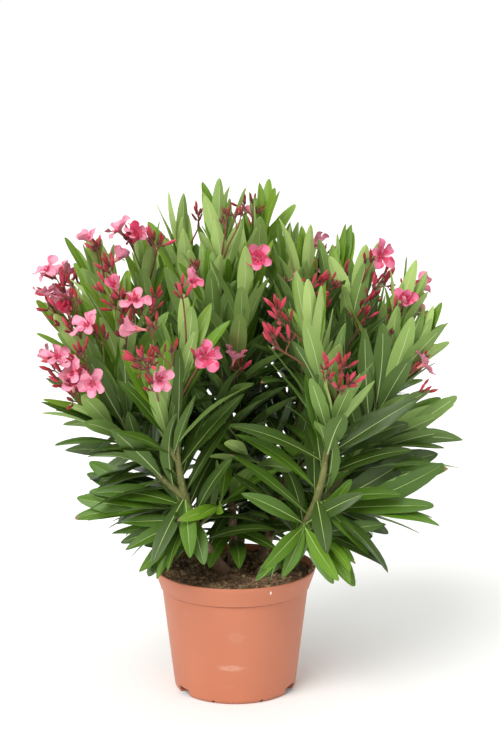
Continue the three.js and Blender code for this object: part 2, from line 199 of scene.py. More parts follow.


# Rubbed places on the pot, and a thin line of painted shade under the band: middle and half size (right, back
# and up, in mm), colour and strength.
RUBS_AND_PAINTED_SHADE = [
    ((-4, -77, 46), (26, 20, 6.5), "#dfae98", 0.4),
    ((2, -80, 84), (17, 20, 13), "#d8a48c", 0.14),
    ((-36, -72, 98), (6, 20, 5), "#c9644a", 0.25),
    ((41, -85, 137), (1.6, 20, 3.6), "#f6e6dc", 1.6),
    ((0, 0, 120.9), (1000, 1000, 1.5), "#84432f", 0.6),  # painted shade: a dark line in the corner under the band, where its shadow falls
]


def rub_or_shade_mark(tree, place, under, centre, half, code, strength):
    """Lays a mark over the colour so far: streaks some 6 mm long that fade out towards its edge."""
    scale = tuple(1 / (size * MM) for size in half)
    offset = tuple(-(c * MM) / (size * MM) for c, size in zip(centre, half))
    local = add(tree, "Mapping", {"Location": offset, "Scale": scale}, {"Vector": place})
    reach = add(tree, "VectorMath", {"operation": "LENGTH"}, {0: local.outputs[0]})
    long_way = add(tree, "Mapping", {"Scale": (1.0, 1.0, 3.0), "Rotation": (0.0, -0.2, 0.0)},
                   {"Vector": place})
    streaks = add(tree, "TexNoise", {"Scale": MARK_STREAKS, "Detail": 4.0}, {"Vector": long_way.outputs[0]})
    fade = add(tree, "MapRange", {"From Min": 0.3, "From Max": 1.0, "To Min": 2.2, "To Max": 0.0},
               {"Value": reach.outputs["Value"]})
    both = add(tree, "Math", {"operation": "MULTIPLY"}, {0: streaks.outputs["Fac"], 1: fade.outputs[0]})
    share = add(tree, "MapRange", {"From Min": 0.45, "From Max": 1.1, "To Max": strength},
                {"Value": both.outputs[0]})
    return add(tree, "Mix", {"data_type": "RGBA", "clamp_factor": True, 7: linear(code)},
               {0: share.outputs[0], 6: under.outputs[2]})


def moulded_polypropylene(name):
    """Terracotta-coloured polypropylene, injection moulded: an even satin skin with faint flow clouds
    some 70 mm apart, pale scuffs where pots have rubbed together, and a thin dark line of painted
    shade under the band."""
    material, tree = blank(name)
    place = add(tree, "TexCoord").outputs["Object"]
    flow = add(tree, "TexNoise", {"Scale": FLOW_CLOUDS, "Detail": 2.0}, {"Vector": place})
    ground = add(tree, "Mix", {"data_type": "RGBA", 6: linear("#b96c4e"), 7: linear("#c67959")},
                 {0: flow.outputs["Fac"]})
    long_marks = add(tree, "Mapping", {"Scale": (1.0, 1.0, 3.2), "Rotation": (0.0, 0.25, 0.0)},
                     {"Vector": place})
    rubs = add(tree, "TexNoise", {"Scale": SCUFFS, "Detail": 6.0, "Roughness": 0.65},
               {"Vector": long_marks.outputs[0]})
    scuff = add(tree, "MapRange", {"From Min": 0.62, "From Max": 0.8, "To Max": 0.4},
                {"Value": rubs.outputs["Fac"]})
    worn_and_shaded = add(tree, "Mix", {"data_type": "RGBA", 7: linear("#d19a82")},
               {0: scuff.outputs[0], 6: ground.outputs[2]})
    # Rubbed marks, and the thin line of painted shade under the band.
    for centre, half, code, strength in RUBS_AND_PAINTED_SHADE:
        worn_and_shaded = rub_or_shade_mark(tree, place, worn_and_shaded, centre, half, code, strength)
    grain = add(tree, "TexNoise", {"Scale": SKIN_GRAIN, "Detail": 2.0}, {"Vector": place})
    surface(tree, {"IOR": 1.49}, (grain.outputs["Fac"], 0.12, 0.1 * MM), (scuff.outputs[0], 0.46, 0.66),
            worn_and_shaded.outputs[2])
    return material


def damp_peat(name, dark, light):
    """Potting peat: dark fibrous crumbs of 1 to 4 mm with no shine, paler where they have dried."""
    material, tree = blank(name)
    place = add(tree, "TexCoord").outputs["Object"]
    crumbs = add(tree, "TexNoise", {"Scale": PEAT_CRUMBS, "Detail": 6.0, "Roughness": 0.7}, {"Vector": place})
    dried = add(tree, "TexNoise", {"Scale": DRIED_PATCHES, "Detail": 3.0}, {"Vector": place})
    both = add(tree, "Math", {"operation": "MULTIPLY"}, {0: crumbs.outputs["Fac"], 1: dried.outputs["Fac"]})
    tone = add(tree, "MapRange", {"From Min": 0.2, "From Max": 0.36}, {"Value": both.outputs[0]})
    colour = add(tree, "Mix", {"data_type": "RGBA", 6: linear(dark), 7: linear(light)}, {0: tone.outputs[0]})
    surface(tree, {"IOR": 1.4, "Specular IOR Level": 0.25}, (crumbs.outputs["Fac"], 0.8, 1.2 * MM),
            (crumbs.outputs["Fac"], 0.82, 1.0), colour.outputs[2])
    return material


# ---- closed pieces made of rings, joined by kind ----

def sleeve_faces(rings, points):
    """Four-sided faces of a sleeve of rings, each with an even number of points, shut at both ends by
    a ladder of faces. Returns the faces and the ring and column that each face belongs to."""
    faces, rows, columns = [], [], []
    for i in range(rings - 1):
        for j in range(points):
            k = (j + 1) % points
            faces.append((i * points + j, i * points + k, (i + 1) * points + k, (i + 1) * points + j))
            rows.append(i)
            columns.append(j)
    last = (rings - 1) * points
    for j in range(points // 2 - 1):
        ladder = (j, j + 1, points - 2 - j, points - 1 - j)
        faces.append(tuple(reversed(ladder)))
        faces.append(tuple(last + n for n in ladder))
        rows += [0, rings - 2]
        columns += [j, j]
    return np.array(faces), np.array(rows), np.array(columns)


CAP_SHARE = 0.02  # how much of its square of the bake map a piece's shut ends take
MAP_FILL, MAP_MARGIN = 0.9, 0.05  # the part of its square that a piece fills, and the gap round it
SMALL_PIECE_EDGE = math.radians(70)  # faces that meet more sharply than this show an edge
POT_EDGE = math.radians(42)


class Heap:
    """Small closed pieces of one kind, gathered one by one and then joined into a few meshes."""

    patterns = {}

    def __init__(self, name, finishes, slot):
        self.name = name
        self.finishes = finishes
        self.slot = slot
        self.pieces = []

    def put(self, rings, slots, across=None, along=None):
        """Adds a piece. Its rings run from foot to tip, each ring anticlockwise seen from the tip.
        slots gives the finish for each ring and column, across and along its sizes in millimetres."""
        count, points = rings.shape[:2]
        if (count, points) not in self.patterns:
            self.patterns[count, points] = sleeve_faces(count, points)
        faces, rows, columns = self.patterns[count, points]
        finish = np.broadcast_to(slots, (count - 1, points))[rows, columns]
        across = np.linspace(0, 6, points + 1) if across is None else across
        along = np.linspace(0, 20, count) if along is None else along
        j = columns[:, None] + (0, 1, 1, 0)
        i = rows[:, None] + (0, 0, 1, 1)
        cell = np.stack((j / points, i / (count - 1)), axis=-1)
        caps = faces.shape[0] - (count - 1) * points
        cell[-caps:] *= CAP_SHARE
        span = np.stack((np.broadcast_to(across, (points + 1,))[j], along[i]), axis=-1)
        self.pieces.append((rings.reshape(-1, 3), faces, finish, cell, span))

    def join(self):
        """Joins the pieces into meshes under the limit of faces, and returns them."""
        made, batch, faces = [], [], 0
        for piece in self.pieces:
            if faces + len(piece[1]) > MOST_FACES:
                made.append(batch)
                batch, faces = [], 0
            batch.append(piece)
            faces += len(piece[1])
        made.append(batch)
        return [self.mesh(batch, number) for number, batch in enumerate(made, 1)]

    def mesh(self, batch, number):
        """One mesh object of the pieces in a batch. Each piece has its own square of the bake map."""
        side = math.ceil(math.sqrt(len(batch)))
        starts = np.cumsum([0] + [len(piece[0]) for piece in batch[:-1]])
        corners = np.concatenate([piece[1] + start for piece, start in zip(batch, starts)])
        squares = [(piece[3] * MAP_FILL + MAP_MARGIN + np.array((k % side, k // side))) / side
                   for k, piece in enumerate(batch)]
        mesh = bpy.data.meshes.new(self.name)
        points = np.concatenate([piece[0] for piece in batch])
        mesh.vertices.add(len(points))
        mesh.vertices.foreach_set("co", points.ravel())
        mesh.loops.add(corners.size)
        mesh.loops.foreach_set("vertex_index", corners.ravel())
        mesh.polygons.add(len(corners))
        mesh.polygons.foreach_set("loop_start", np.arange(len(corners)) * 4)
        mesh.polygons.foreach_set("material_index", np.concatenate([piece[2] for piece in batch]))
        for finish in self.finishes:
            mesh.materials.append(finish)
        span = mesh.uv_layers.new(name="span")
        span.data.foreach_set("uv", np.concatenate([piece[4] for piece in batch]).ravel())
        bake = mesh.uv_layers.new(name="OFBake")
        bake.data.foreach_set("uv", np.concatenate(squares).ravel())
        mesh.update(calc_edges=True)
        mesh.validate()
        mesh.shade_smooth()
        mesh.set_sharp_from_angle(angle=SMALL_PIECE_EDGE)
        piece = bpy.data.objects.new(f"{self.name}_{number}", mesh)
        bpy.context.scene.collection.objects.link(piece)
        return piece


# ---- directions and lines ----

def unit(vector):
    return vector / np.linalg.norm(vector)


def square_to(direction, hint):
    """The part of hint that is square to a direction, one unit long."""
    return unit(hint - direction * np.dot(hint, direction))


def mix(start, end, share):
    return start + (end - start) * share


def leaning(axis, outward, angle):
    """A direction that leans away from an axis by an angle."""
    return axis * math.cos(angle) + outward * math.sin(angle)


def spoke(axis, angle):
    """A direction square to an axis, turned round it by an angle from the front."""
    first = square_to(axis, FRONT + 0.01 * UP)
    return first * math.cos(angle) + np.cross(axis, first) * math.sin(angle)


def smooth_line(knots, step):
    """A smooth line through some points, sampled about every step."""
    knots = np.array(knots)
    ends = np.vstack((2 * knots[0] - knots[1], knots, 2 * knots[-1] - knots[-2]))
    line = []
    for a, b, c, d in zip(ends, ends[1:], ends[2:], ends[3:]):
        count = max(2, round(np.linalg.norm(c - b) / step))
        for t in np.arange(count) / count:
            line.append(0.5 * (2 * b + (c - a) * t + (2 * a - 5 * b + 4 * c - d) * t * t
                               + (3 * b - a - 3 * c + d) * t ** 3))
    line.append(knots[-1])
    return np.array(line)


def lengths_along(line):
    return np.concatenate(([0.0], np.cumsum(np.linalg.norm(np.diff(line, axis=0), axis=1))))


def headings(line):
    """Unit directions of a line at each of its points."""
    return np.array([unit(d) for d in np.gradient(line, axis=0)])


def tube_rings(line, radii, sides, relief=None):
    """Rings round a line. relief is a share of the radius added at each ring and side."""
    ahead = headings(line)
    side = square_to(ahead[0], FRONT + 0.3 * UP)
    angles = np.arange(sides) * 2 * math.pi / sides
    rings = np.empty((len(line), sides, 3))
    for i, centre in enumerate(line):
        side = square_to(ahead[i], side)
        other = np.cross(ahead[i], side)
        radius = radii[i] * (1 + (relief[i] if relief is not None else 0))
        rings[i] = centre + np.outer(np.cos(angles) * radius, side) + np.outer(np.sin(angles) * radius, other)
    return rings


# ---- what the frame says ----

def corners_of(name):
    """The points of a solid of the frame, each once."""
    points = np.array([v.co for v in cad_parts[name].data.vertices])
    return np.unique(points.round(6), axis=0)


def farthest_pair(points):
    """The two points that lie farthest apart."""
    gaps = np.linalg.norm(points[:, None] - points[None], axis=2)
    return [points[n] for n in np.unravel_index(gaps.argmax(), gaps.shape)]


RING_GAP = 8 * MM  # points of a limb closer than this along it are of one ring
LIMB_STEP = 2.2 * MM


def limb_of(name):
    """A limb's centre line and radii, from foot to end, read from the rings of its solid."""
    points = corners_of(name)
    first, last = farthest_pair(points)
    along = (points - first) @ unit(last - first)
    order = np.argsort(along)
    breaks = np.where(np.diff(along[order]) > RING_GAP)[0] + 1
    rings = [points[group] for group in np.split(order, breaks)]
    centres = [ring.mean(axis=0) for ring in rings]
    radii = [np.linalg.norm(ring - centre, axis=1).max() for ring, centre in zip(rings, centres)]
    if radii[0] < radii[-1]:
        centres, radii = centres[::-1], radii[::-1]
    line = smooth_line(centres, LIMB_STEP)
    shares = lengths_along(line) / lengths_along(line)[-1]
    ends = (min(radii[0], radii[1] * 1.25), radii[-1])
    return line, mix(ends[0], ends[1], shares)


pot_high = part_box("pot")[1]
NODES = sorted(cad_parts)
STEMS = [name for name in NODES if name.startswith("stem_")]
BOUGHS = [name for name in NODES if name.startswith("bough_")]
TUFTS = [name for name in NODES if name.startswith(("leaves_", "skirt_"))]
LIMBS = {name: limb_of(name) for name in STEMS + BOUGHS}
ALL_LIMB_POINTS = np.concatenate([line for line, _ in LIMBS.values()])


def ends_of(name):
    """A tuft's foot, beside the limb that carries it, and its tip."""
    a, b = farthest_pair(corners_of(name))
    near = [np.linalg.norm(ALL_LIMB_POINTS - end, axis=1).min() for end in (a, b)]
    return (a, b) if near[0] < near[1] else (b, a)


def skin_of(names):
    """The surface of some solids of the frame together."""
    points, faces = [], []
    for name in names:
        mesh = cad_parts[name].data
        start = len(points)
        points += [v.co.copy() for v in mesh.vertices]
        faces += [[start + i for i in polygon.vertices] for polygon in mesh.polygons]
    return BVHTree.FromPolygons(points, faces)


SKIN = skin_of(TUFTS)  # for telling how far a leaf strays from the crown

HEART = {"reach": 0.11, "low": 0.155, "high": 0.46}  # the middle of the crown, leafy throughout
HEART_NARROWS = 0.23  # below this height the leafy middle draws in towards the stems
LOWEST_OVER_POT = pot_high.z + 3 * MM
LOWEST_BESIDE_POT = pot_high.z - 24 * MM
FARTHEST_OUT = 9 * MM  # how far past the frame's box a leaf may end at no cost


def strays(point):
    """How far a point lies outside the crown, in metres. It is negative inside a tuft."""
    reach = HEART["reach"] - 0.5 * max(0.0, HEART_NARROWS - point[2])
    if math.hypot(point[0], point[1]) < reach and HEART["low"] < point[2] < HEART["high"]:
        return 0.0
    place, normal, _, distance = SKIN.find_nearest(Vector(point))
    return distance if (Vector(point) - place).dot(normal) > 0 else -distance


# ---- blades: leaves and petals ----

def blade_path(foot, along, upper, length, bends, stations):
    """A blade's centre line with its sideways and upper directions. bends are how far it droops,
    sweeps sideways and twists by its tip."""
    droop, sweep, twist = bends
    side = np.cross(upper, along)
    bend = (droop * stations ** 1.4)[:, None]
    turn = (sweep * stations)[:, None]
    roll = (twist * stations)[:, None]
    forward = np.cos(bend) * along - np.sin(bend) * upper
    lift = np.cos(bend) * upper + np.sin(bend) * along
    ahead = forward * np.cos(turn) + side * np.sin(turn)
    across = side * np.cos(turn) - forward * np.sin(turn)
    sides = across * np.cos(roll) + lift * np.sin(roll)
    lifts = lift * np.cos(roll) - across * np.sin(roll)
    strides = np.diff(stations)[:, None] * length * (ahead[1:] + ahead[:-1]) / 2
    centres = foot + np.vstack((np.zeros(3), np.cumsum(strides, axis=0)))
    return centres, sides, lifts


def laid_out(path, across, height):
    """A blade's rings from sizes across it and above it, and the sizes across in millimetres."""
    centres, sides, lifts = path
    rings = centres[:, None] + across[..., None] * sides[:, None] + height[..., None] * lifts[:, None]
    return rings, np.append(across.max(axis=0), across[:, 0].max()) / MM


LEAF_STATIONS = np.array((0, 0.035, 0.09, 0.18, 0.3, 0.42, 0.54, 0.66, 0.78, 0.88, 0.95, 0.985, 1.0))
LEAF_TOP = 8  # points across the upper side, which has the pale rib in its middle
LEAF_THICK = 0.45 * MM
LEAF_STALK = 1.1 * MM  # half width of the short stalk
LEAF_POINT = 0.25 * MM  # half width of the very tip
RIB_SUNK = 0.12 * MM  # how deep the pale rib lies in the upper side


def leaf_half_width(stations, width, taper):
    """Lance shaped: widest just past the middle, drawn out to the stalk and blunter at the tip. A leaf
    of small taper has a rounder tip."""
    body = np.sin(math.pi * stations ** 1.09) ** mix(1.05, taper, stations)
    stalk = np.clip(stations / 0.14, 0, 1)
    return np.maximum(width / 2 * body * (0.45 + 0.55 * stalk), mix(LEAF_STALK, LEAF_POINT, stations))


def leaf_rings(path, width, taper, fold, waves):
    """Rings of a leaf: folded along its rib, which stands out below, with a gently waved margin."""
    s = LEAF_STATIONS
    half = leaf_half_width(s, width, taper)
    rib = np.minimum(mix(0.6 * MM, 0.15 * MM, s), half * 0.4) / half
    ones = np.ones_like(s)
    inner = 0.42 * ones + 0.3 * rib
    top = (ones, 0.78 * ones, inner, rib, -rib, -inner, -0.78 * ones, -ones)
    under = (-0.6 * ones, -rib, rib, 0.6 * ones)
    share = np.stack(top + under, axis=1)
    height = np.abs(share) * half[:, None] * math.tan(fold) - np.abs(share) ** 3 * half[:, None] * 0.12
    ripple = np.where(share > 0, np.sin(s * 11 + waves)[:, None], np.sin(s * 9 - waves)[:, None])
    height += ripple * share ** 2 * half[:, None] * 0.07
    height[:, 3:5] -= RIB_SUNK
    height[:, LEAF_TOP:] -= LEAF_THICK
    height[:, LEAF_TOP + 1:LEAF_TOP + 3] -= mix(0.7 * MM, 0.1 * MM, s)[:, None]
    return laid_out(path, share * half[:, None], height)


# ---- keeping leaves clear of one another ----

class Crowd:
    """The blades and flowers placed so far, for finding how many of them a new one would cut."""

    def __init__(self):
        self.middles, self.reaches, self.trees = [], [], []

    @staticmethod
    def sheet(points, faces):
        middle = points.mean(axis=0)
        reach = np.linalg.norm(points - middle, axis=1).max()
        return middle, reach, BVHTree.FromPolygons([Vector(p) for p in points], faces)

    def cuts(self, sheet):
        middle, reach, tree = sheet
        if not self.middles:
            return 0
        apart = np.linalg.norm(np.array(self.middles) - middle, axis=1)
        near = np.where(apart < np.array(self.reaches) + reach)[0]
        return sum(1 for n in near if tree.overlap(self.trees[n]))

    def admit(self, sheet):
        self.middles.append(sheet[0])
        self.reaches.append(sheet[1])
        self.trees.append(sheet[2])


CROWD = Crowd()
COARSE = np.array((0.0, 0.14, 0.38, 0.62, 0.84, 1.0))
COARSE_TAPER = 0.7
COARSE_FACES = [(2 * i, 2 * i + 1, 2 * i + 3, 2 * i + 2) for i in range(1, len(COARSE) - 1)]


def coarse_leaf(foot, along, upper, length, width, bends):
    """A leaf's centre line and the flat sheet that stands in for its blade. The foot is left out,
    since leaves of one whorl meet there."""
    centres, sides, _ = blade_path(foot, along, upper, length, bends, COARSE)
    half = leaf_half_width(COARSE, width, COARSE_TAPER)[:, None] * sides
    edges = np.stack((centres + half, centres - half), axis=1)
    return centres, Crowd.sheet(edges.reshape(-1, 3), COARSE_FACES)


# ---- leaves ----

TOPS = ("#7a9d2e", "#6c9125", "#62891c", "#53781b", "#47671b", "#3a5218")
UNDERS = ("#a6c16c", "#8dab59", "#749346", "#587334")
leaf_finishes = (
    [leaf_skin(f"leaf_upper_side_{n}", code, 0.38, 0.55) for n, code in enumerate(TOPS)]
    + [leaf_skin(f"leaf_underside_{n}", code, 0.58, 0.5) for n, code in enumerate(UNDERS)]
    + [
        leaf_skin("leaf_rib_pale", "#a1b76c", 0.5, 0.1),
        leaf_skin("leaf_rib_green", "#86a04c", 0.5, 0.1),
        leaf_skin("leaf_tip_dry", "#8a7453", 0.7, 0.3),
        leaf_skin("leaf_rib_below", "#c3d596", 0.5, 0.1),
    ]
)
RIB_PALE, RIB_GREEN, DRY, RIB_BELOW = range(len(leaf_finishes) - 4, len(leaf_finishes))
RIB_STRIP, RIB_STRIP_BELOW = 3, 9  # the strips down the middle of the upper side and of the underside
UNDER_STRIPS = 5
RIB_FADES = 8  # the station where the pale rib sinks into the upper side
leaves = Heap("leaves", leaf_finishes, "foliage")


def leaf_colours(age_and_shade, dry, rng):
    """The finishes of a leaf's strips: the tone runs from 0, just unfolded, to 1, an old dark leaf, and on
    upright tufts it also holds painted shade low down and painted light high up and on the left.
    """
    shade = min(max(age_and_shade + rng.uniform(-0.3, 0.3), 0), 0.999)
    upper = int(shade * len(TOPS))
    under = len(TOPS) + int(shade * len(UNDERS))
    strips = np.array([upper] * (LEAF_TOP - 1) + [under] * UNDER_STRIPS)
    slots = np.tile(strips, (len(LEAF_STATIONS) - 1, 1))
    slots[:-2, RIB_STRIP] = RIB_GREEN
    slots[:RIB_FADES, RIB_STRIP] = RIB_PALE
    slots[:-3, RIB_STRIP_BELOW] = RIB_BELOW
    if dry:
        slots[-2:] = DRY
    return slots


# What counts against an attitude of a leaf. A millimetre out of the crown costs OUT_COST, and one too
# low or too far out counts as several of those. Each leaf or flower that it cuts costs CUT_COST, a
# radian of lean or of turn costs LEAN_COST or TURN_COST, and the loss of its whole length SHORT_COST.
# The first attitude that costs less than GOOD_ENOUGH is taken.
OUT_COST, LOW_COST, FAR_COST, CUT_COST, LEAN_COST, SHORT_COST, TURN_COST = 0.5, 4, 4, 5, 6, 12, 3
GOOD_ENOUGH = 1.5


def too_low(point):
    """A cost for a leaf that would touch the peat, the pot's rim or the side of the pot."""
    beside = math.hypot(point[0], point[1]) > pot_high.x + 8 * MM
    return max(0.0, (LOWEST_BESIDE_POT if beside else LOWEST_OVER_POT) - point[2]) / MM * LOW_COST


def too_far(point):
    """A cost for a leaf that would reach well outside the frame's own box."""
    low, high = np.array(cad_box[0]) - FARTHEST_OUT, np.array(cad_box[1]) + FARTHEST_OUT
    return float(np.maximum(low - point, point - high).clip(0).sum()) / MM * FAR_COST


def outside_of(foot):
    """The way out of the crown that a leaf can turn a broad side to: the front, or the back."""
    return FRONT if foot[1] < 0.05 else -FRONT


def put_leaf(foot, axis, outward, want, rng):
    """Grows one leaf. It tries a few attitudes and keeps the one that stays in the crown, clears
    the leaves already there and is nearest to what is wanted."""
    best = None
    for turn, lean, size in want["tries"]:
        around = leaning(outward, np.cross(axis, outward), turn)
        angle = want["lean"] + lean
        along = leaning(axis, around, angle)
        inner_side = leaning(axis, -around, math.pi / 2 - angle)
        upper = square_to(along, inner_side + want["up"] * UP + want["face"] * outside_of(foot))
        length = want["length"] * size
        width = want["width"] * (0.5 + 0.5 * size)
        bends = want["bends"]
        centres, sheet = coarse_leaf(foot, along, upper, length, width, bends)
        out = sum(max(0.0, strays(p) - want["allow"]) for p in centres[2:]) / MM
        out += too_low(centres[-1]) + too_low(centres[-2]) + too_far(centres[-1])
        cost = out * OUT_COST + CROWD.cuts(sheet) * CUT_COST + abs(lean) * LEAN_COST
        cost = cost + (1 - size) * SHORT_COST + abs(turn) * TURN_COST
        if best is None or cost < best[0]:
            best = (cost, along, upper, length, width, sheet)
        if cost < GOOD_ENOUGH:
            break
    _, along, upper, length, width, sheet = best
    CROWD.admit(sheet)
    path = blade_path(foot, along, upper, length, want["bends"], LEAF_STATIONS)
    rings, across = leaf_rings(path, width, rng.uniform(0.44, 0.76), want["fold"], rng.uniform(0, 6))
    slots = leaf_colours(want["age_and_shade"], want.get("dry", False), rng)
    leaves.put(rings, slots, across, LEAF_STATIONS * length / MM)


# Leans and sizes to try after a leaf as it is wanted.
OTHER_WAYS = ((-0.15, 1.0), (0.12, 1.0), (-0.3, 1.0), (-0.15, 0.88), (-0.4, 0.85), (-0.3, 0.72), (-0.5, 0.66))


def attitudes(rng):
    """Ways to turn, lean and shorten a leaf, tried in turn."""
    ways = [(rng.uniform(-0.12, 0.12), 0.0, 1.0)]
    for lean, size in OTHER_WAYS:
        ways.append((rng.uniform(-0.45, 0.45), lean, size))
    return ways


# ---- limbs ----

bark_finishes = [
    stem_bark("stem_bark_grey_brown", "#5c4634", "#957a5e", "#b8a288", 0.72),
    stem_bark("stem_bark_olive", "#54582c", "#7c7c44", "#9a9468", 0.6),
    stem_bark("stem_skin_green", "#5c7430", "#83994c", "#9aa868", 0.5),
]
woody = Heap("stems", bark_finishes, "bark")
green = Heap("boughs", bark_finishes, "green_wood")
twigs = Heap("shoots", bark_finishes, "green_wood")
SCAR_GAP = 13 * MM
SCAR_HEIGHT = 1.7 * MM  # how far a scar's swelling runs along the limb
WRINKLE_LENGTH = 9 * MM
SUNK = 5 * MM  # how deep a limb's foot starts inside what it grows from
FLARE_LENGTH = 12 * MM
OLD_WOOD_SHARE = 0.55  # the part of a limb, from its foot, that has the older bark


def bark_relief(line, radii, sides, rng, depth):
    """Relief of a limb: wrinkles along it, and three raised leaf scars at each old whorl."""
    along = lengths_along(line)
    angles = np.arange(sides) * 2 * math.pi / sides
    relief = np.zeros((len(line), sides))
    seed = rng.uniform(0, 100)
    for i, distance in enumerate(along):
        for j, angle in enumerate(angles):
            place = Vector((math.cos(angle) * 2.2 + seed, math.sin(angle) * 2.2, distance / WRINKLE_LENGTH))
            relief[i, j] = depth * noise.noise(place)
            relief[i, j] += depth * 0.6 * noise.noise(place * 3.1)
    scar, number = SCAR_GAP * 0.5, 0
    while scar < along[-1]:
        rise = np.exp(-(((along - scar) / SCAR_HEIGHT) ** 2))
        spin = number * math.pi / 3 + rng.uniform(-0.15, 0.15)
        pads = np.maximum(np.cos(3 * (angles - spin)), 0) ** 3
        relief += rise[:, None] * (0.05 + 0.17 * pads)
        scar += SCAR_GAP * rng.uniform(0.8, 1.25)
        number += 1
    return relief


def sink(line, depth):
    """The line with its foot carried on backwards, so that the limb starts inside what it grows from."""
    back = unit(line[0] - line[1])
    return np.vstack((line[0] + back * depth, line))


def dress_limb(heap, name, sides, slots, foot_flare):
    """Bark over a limb of the frame, in two finishes from its foot and with its foot swollen."""
    line, radii = LIMBS[name]
    line = sink(line, SUNK)
    radii = np.concatenate((radii[:1], radii))
    along = lengths_along(line)
    radii = radii * (1 + foot_flare * np.exp(-along / FLARE_LENGTH))
    rng = random.Random(name)
    relief = bark_relief(line, radii, sides, rng, 0.07)
    share = along / along[-1]
    row = np.array([slots[0] if s < OLD_WOOD_SHARE else slots[1] for s in share[:-1]])[:, None]
    heap.put(tube_rings(line, radii, sides, relief), row, None, along / MM)


for name in STEMS:
    dress_limb(woody, name, 18, (0, 1), 0.3)
for name in BOUGHS:
    dress_limb(green, name, 14, (1, 2), 0.15)


# ---- shoots ----

SHOOT_THICK = 2.3 * MM
SHOOT_THIN = 1.1 * MM
LEAVES_PAST_SHOOT = 84 * MM  # how far the top leaves reach beyond the shoot's end
SPREAD_TUFT = "skirt_"
SHOOT_SIDES = 8
SPRINGS_BACK = 9 * MM  # how far behind its nearest place on a limb a shoot springs


def nearest_limb(point):
    """The place on the limb that passes nearest to a point, a little back towards the limb's foot."""
    best = min(LIMBS, key=lambda name: np.linalg.norm(LIMBS[name][0] - point, axis=1).min())
    line = LIMBS[best][0]
    index = np.linalg.norm(line - point, axis=1).argmin()
    back = max(0, index - round(SPRINGS_BACK / LIMB_STEP))
    return line[back]


def grow_shoot(name):
    """The shoot of a tuft, which springs from the nearest limb, and what its leaves and heads need."""
    foot, tip = ends_of(name)
    axis = unit(tip - foot)
    reach = np.linalg.norm(tip - foot)
    spread = name.startswith(SPREAD_TUFT)
    leafy = reach * 0.2 if spread else max(reach - LEAVES_PAST_SHOOT, reach * 0.36)
    rng = random.Random(name + " shoot")
    wander = spoke(axis, rng.uniform(0, 2 * math.pi)) * reach * 0.02
    middle = foot + axis * leafy * 0.5 + wander
    line = smooth_line([nearest_limb(foot), foot + axis * 4 * MM, middle, foot + axis * leafy], LIMB_STEP)
    radii = mix(SHOOT_THICK, SHOOT_THIN, lengths_along(line) / lengths_along(line)[-1])
    relief = bark_relief(line, radii, SHOOT_SIDES, rng, 0.03)
    share = np.arange(len(line) - 1) / len(line)
    row = np.where(share < 0.3, 1, 2)[:, None]
    twigs.put(tube_rings(line, radii, SHOOT_SIDES, relief), row, None, lengths_along(line) / MM)
    return {"name": name, "line": line, "axis": axis, "reach": reach, "tip": tip, "foot": foot,
            "spread": spread}


SHOOTS = {name: grow_shoot(name) for name in TUFTS}


# ---- flowers ----

flower_finishes = [
    soft_tissue("petal_pale_pink", "#e797ac", 0.6, 0.25),
    soft_tissue("petal_pink", "#da7090", 0.6, 0.25),
    soft_tissue("petal_deep_pink", "#cf3860", 0.55, 0.25),
    soft_tissue("petal_back", "#d9859a", 0.65, 0.25),
    soft_tissue("throat_crimson", "#c23458", 0.6, 0.3),
    soft_tissue("tube_salmon", "#cf7f78", 0.6, 0.2),
]
bud_finishes = [
    soft_tissue("bud_crimson", "#a42831", 0.45, 0.2),
    soft_tissue("bud_rose", "#c73d52", 0.5, 0.2),
    soft_tissue("bud_foot_brown", "#6f352e", 0.6, 0.2),
    soft_tissue("bud_maroon", "#84392f", 0.5, 0.2),
]
stalk_finishes = [
    soft_tissue("flower_stalk_maroon", "#84503c", 0.6, 0.3),
    soft_tissue("flower_stalk_green", "#76803f", 0.6, 0.3),
]
PALE, PINK, DEEP, BACK, THROAT, TUBE = range(6)
BUD_CRIMSON, BUD_ROSE, BUD_FOOT, BUD_MAROON = range(4)
flowers = Heap("flowers", flower_finishes, "foliage")
buds = Heap("buds", bud_finishes, "foliage")
stalks = Heap("flower_stalks", stalk_finishes, "green_wood")

PETAL_LENGTH = 17 * MM
PETAL_WIDTH = 13 * MM
PETAL_THICK = 0.35 * MM
PETAL_TOP = 5  # points across the upper side, of the eight round a petal
PETAL_STATIONS = np.array((0, 0.14, 0.3, 0.48, 0.64, 0.78, 0.89, 0.96, 1.0))
TUBE_LENGTH = 13 * MM
THROAT_RADIUS = 3.0 * MM
TUBE_RADII = np.array((0.9, 1.2, 1.3, 1.5, 2.0, 2.6, 3.1)) * MM
HOLLOW = 0.8 * MM  # how deep in the tube the petals are set
# The finishes of a petal's streak, face and edge.
TINTS = {"pale": (PINK, PALE, PINK), "pink": (DEEP, PINK, DEEP), "deep": (THROAT, DEEP, DEEP)}
FLOWER_TEST_REACH = 0.8  # how much of a flower's reach its stand-in cone has


def petal_rings(foot, along, upper, size, bends, waves):
    """A lopsided petal: narrow at the throat, broad and cut off obliquely at its end, slightly cupped."""
    s = PETAL_STATIONS
    path = blade_path(foot, along, upper, PETAL_LENGTH * size, bends, s)
    rise = 0.3 + 0.7 * np.sin(math.pi / 2 * np.minimum(s / 0.66, 1))
    fall = np.sqrt(np.maximum(1 - (np.maximum(s - 0.66, 0) / 0.35) ** 2, 0.02))
    half = PETAL_WIDTH * size / 2 * rise * fall
    share = np.array((1, 0.5, 0, -0.5, -1, -0.5, 0, 0.5))
    height = np.abs(share) ** 2 * half[:, None] * 0.3
    height = height + (np.sin(s * 9 + waves)[:, None] * share) * half[:, None] * 0.24
    height[:, PETAL_TOP:] -= PETAL_THICK
    return laid_out(path, share[None] * half[:, None], height)


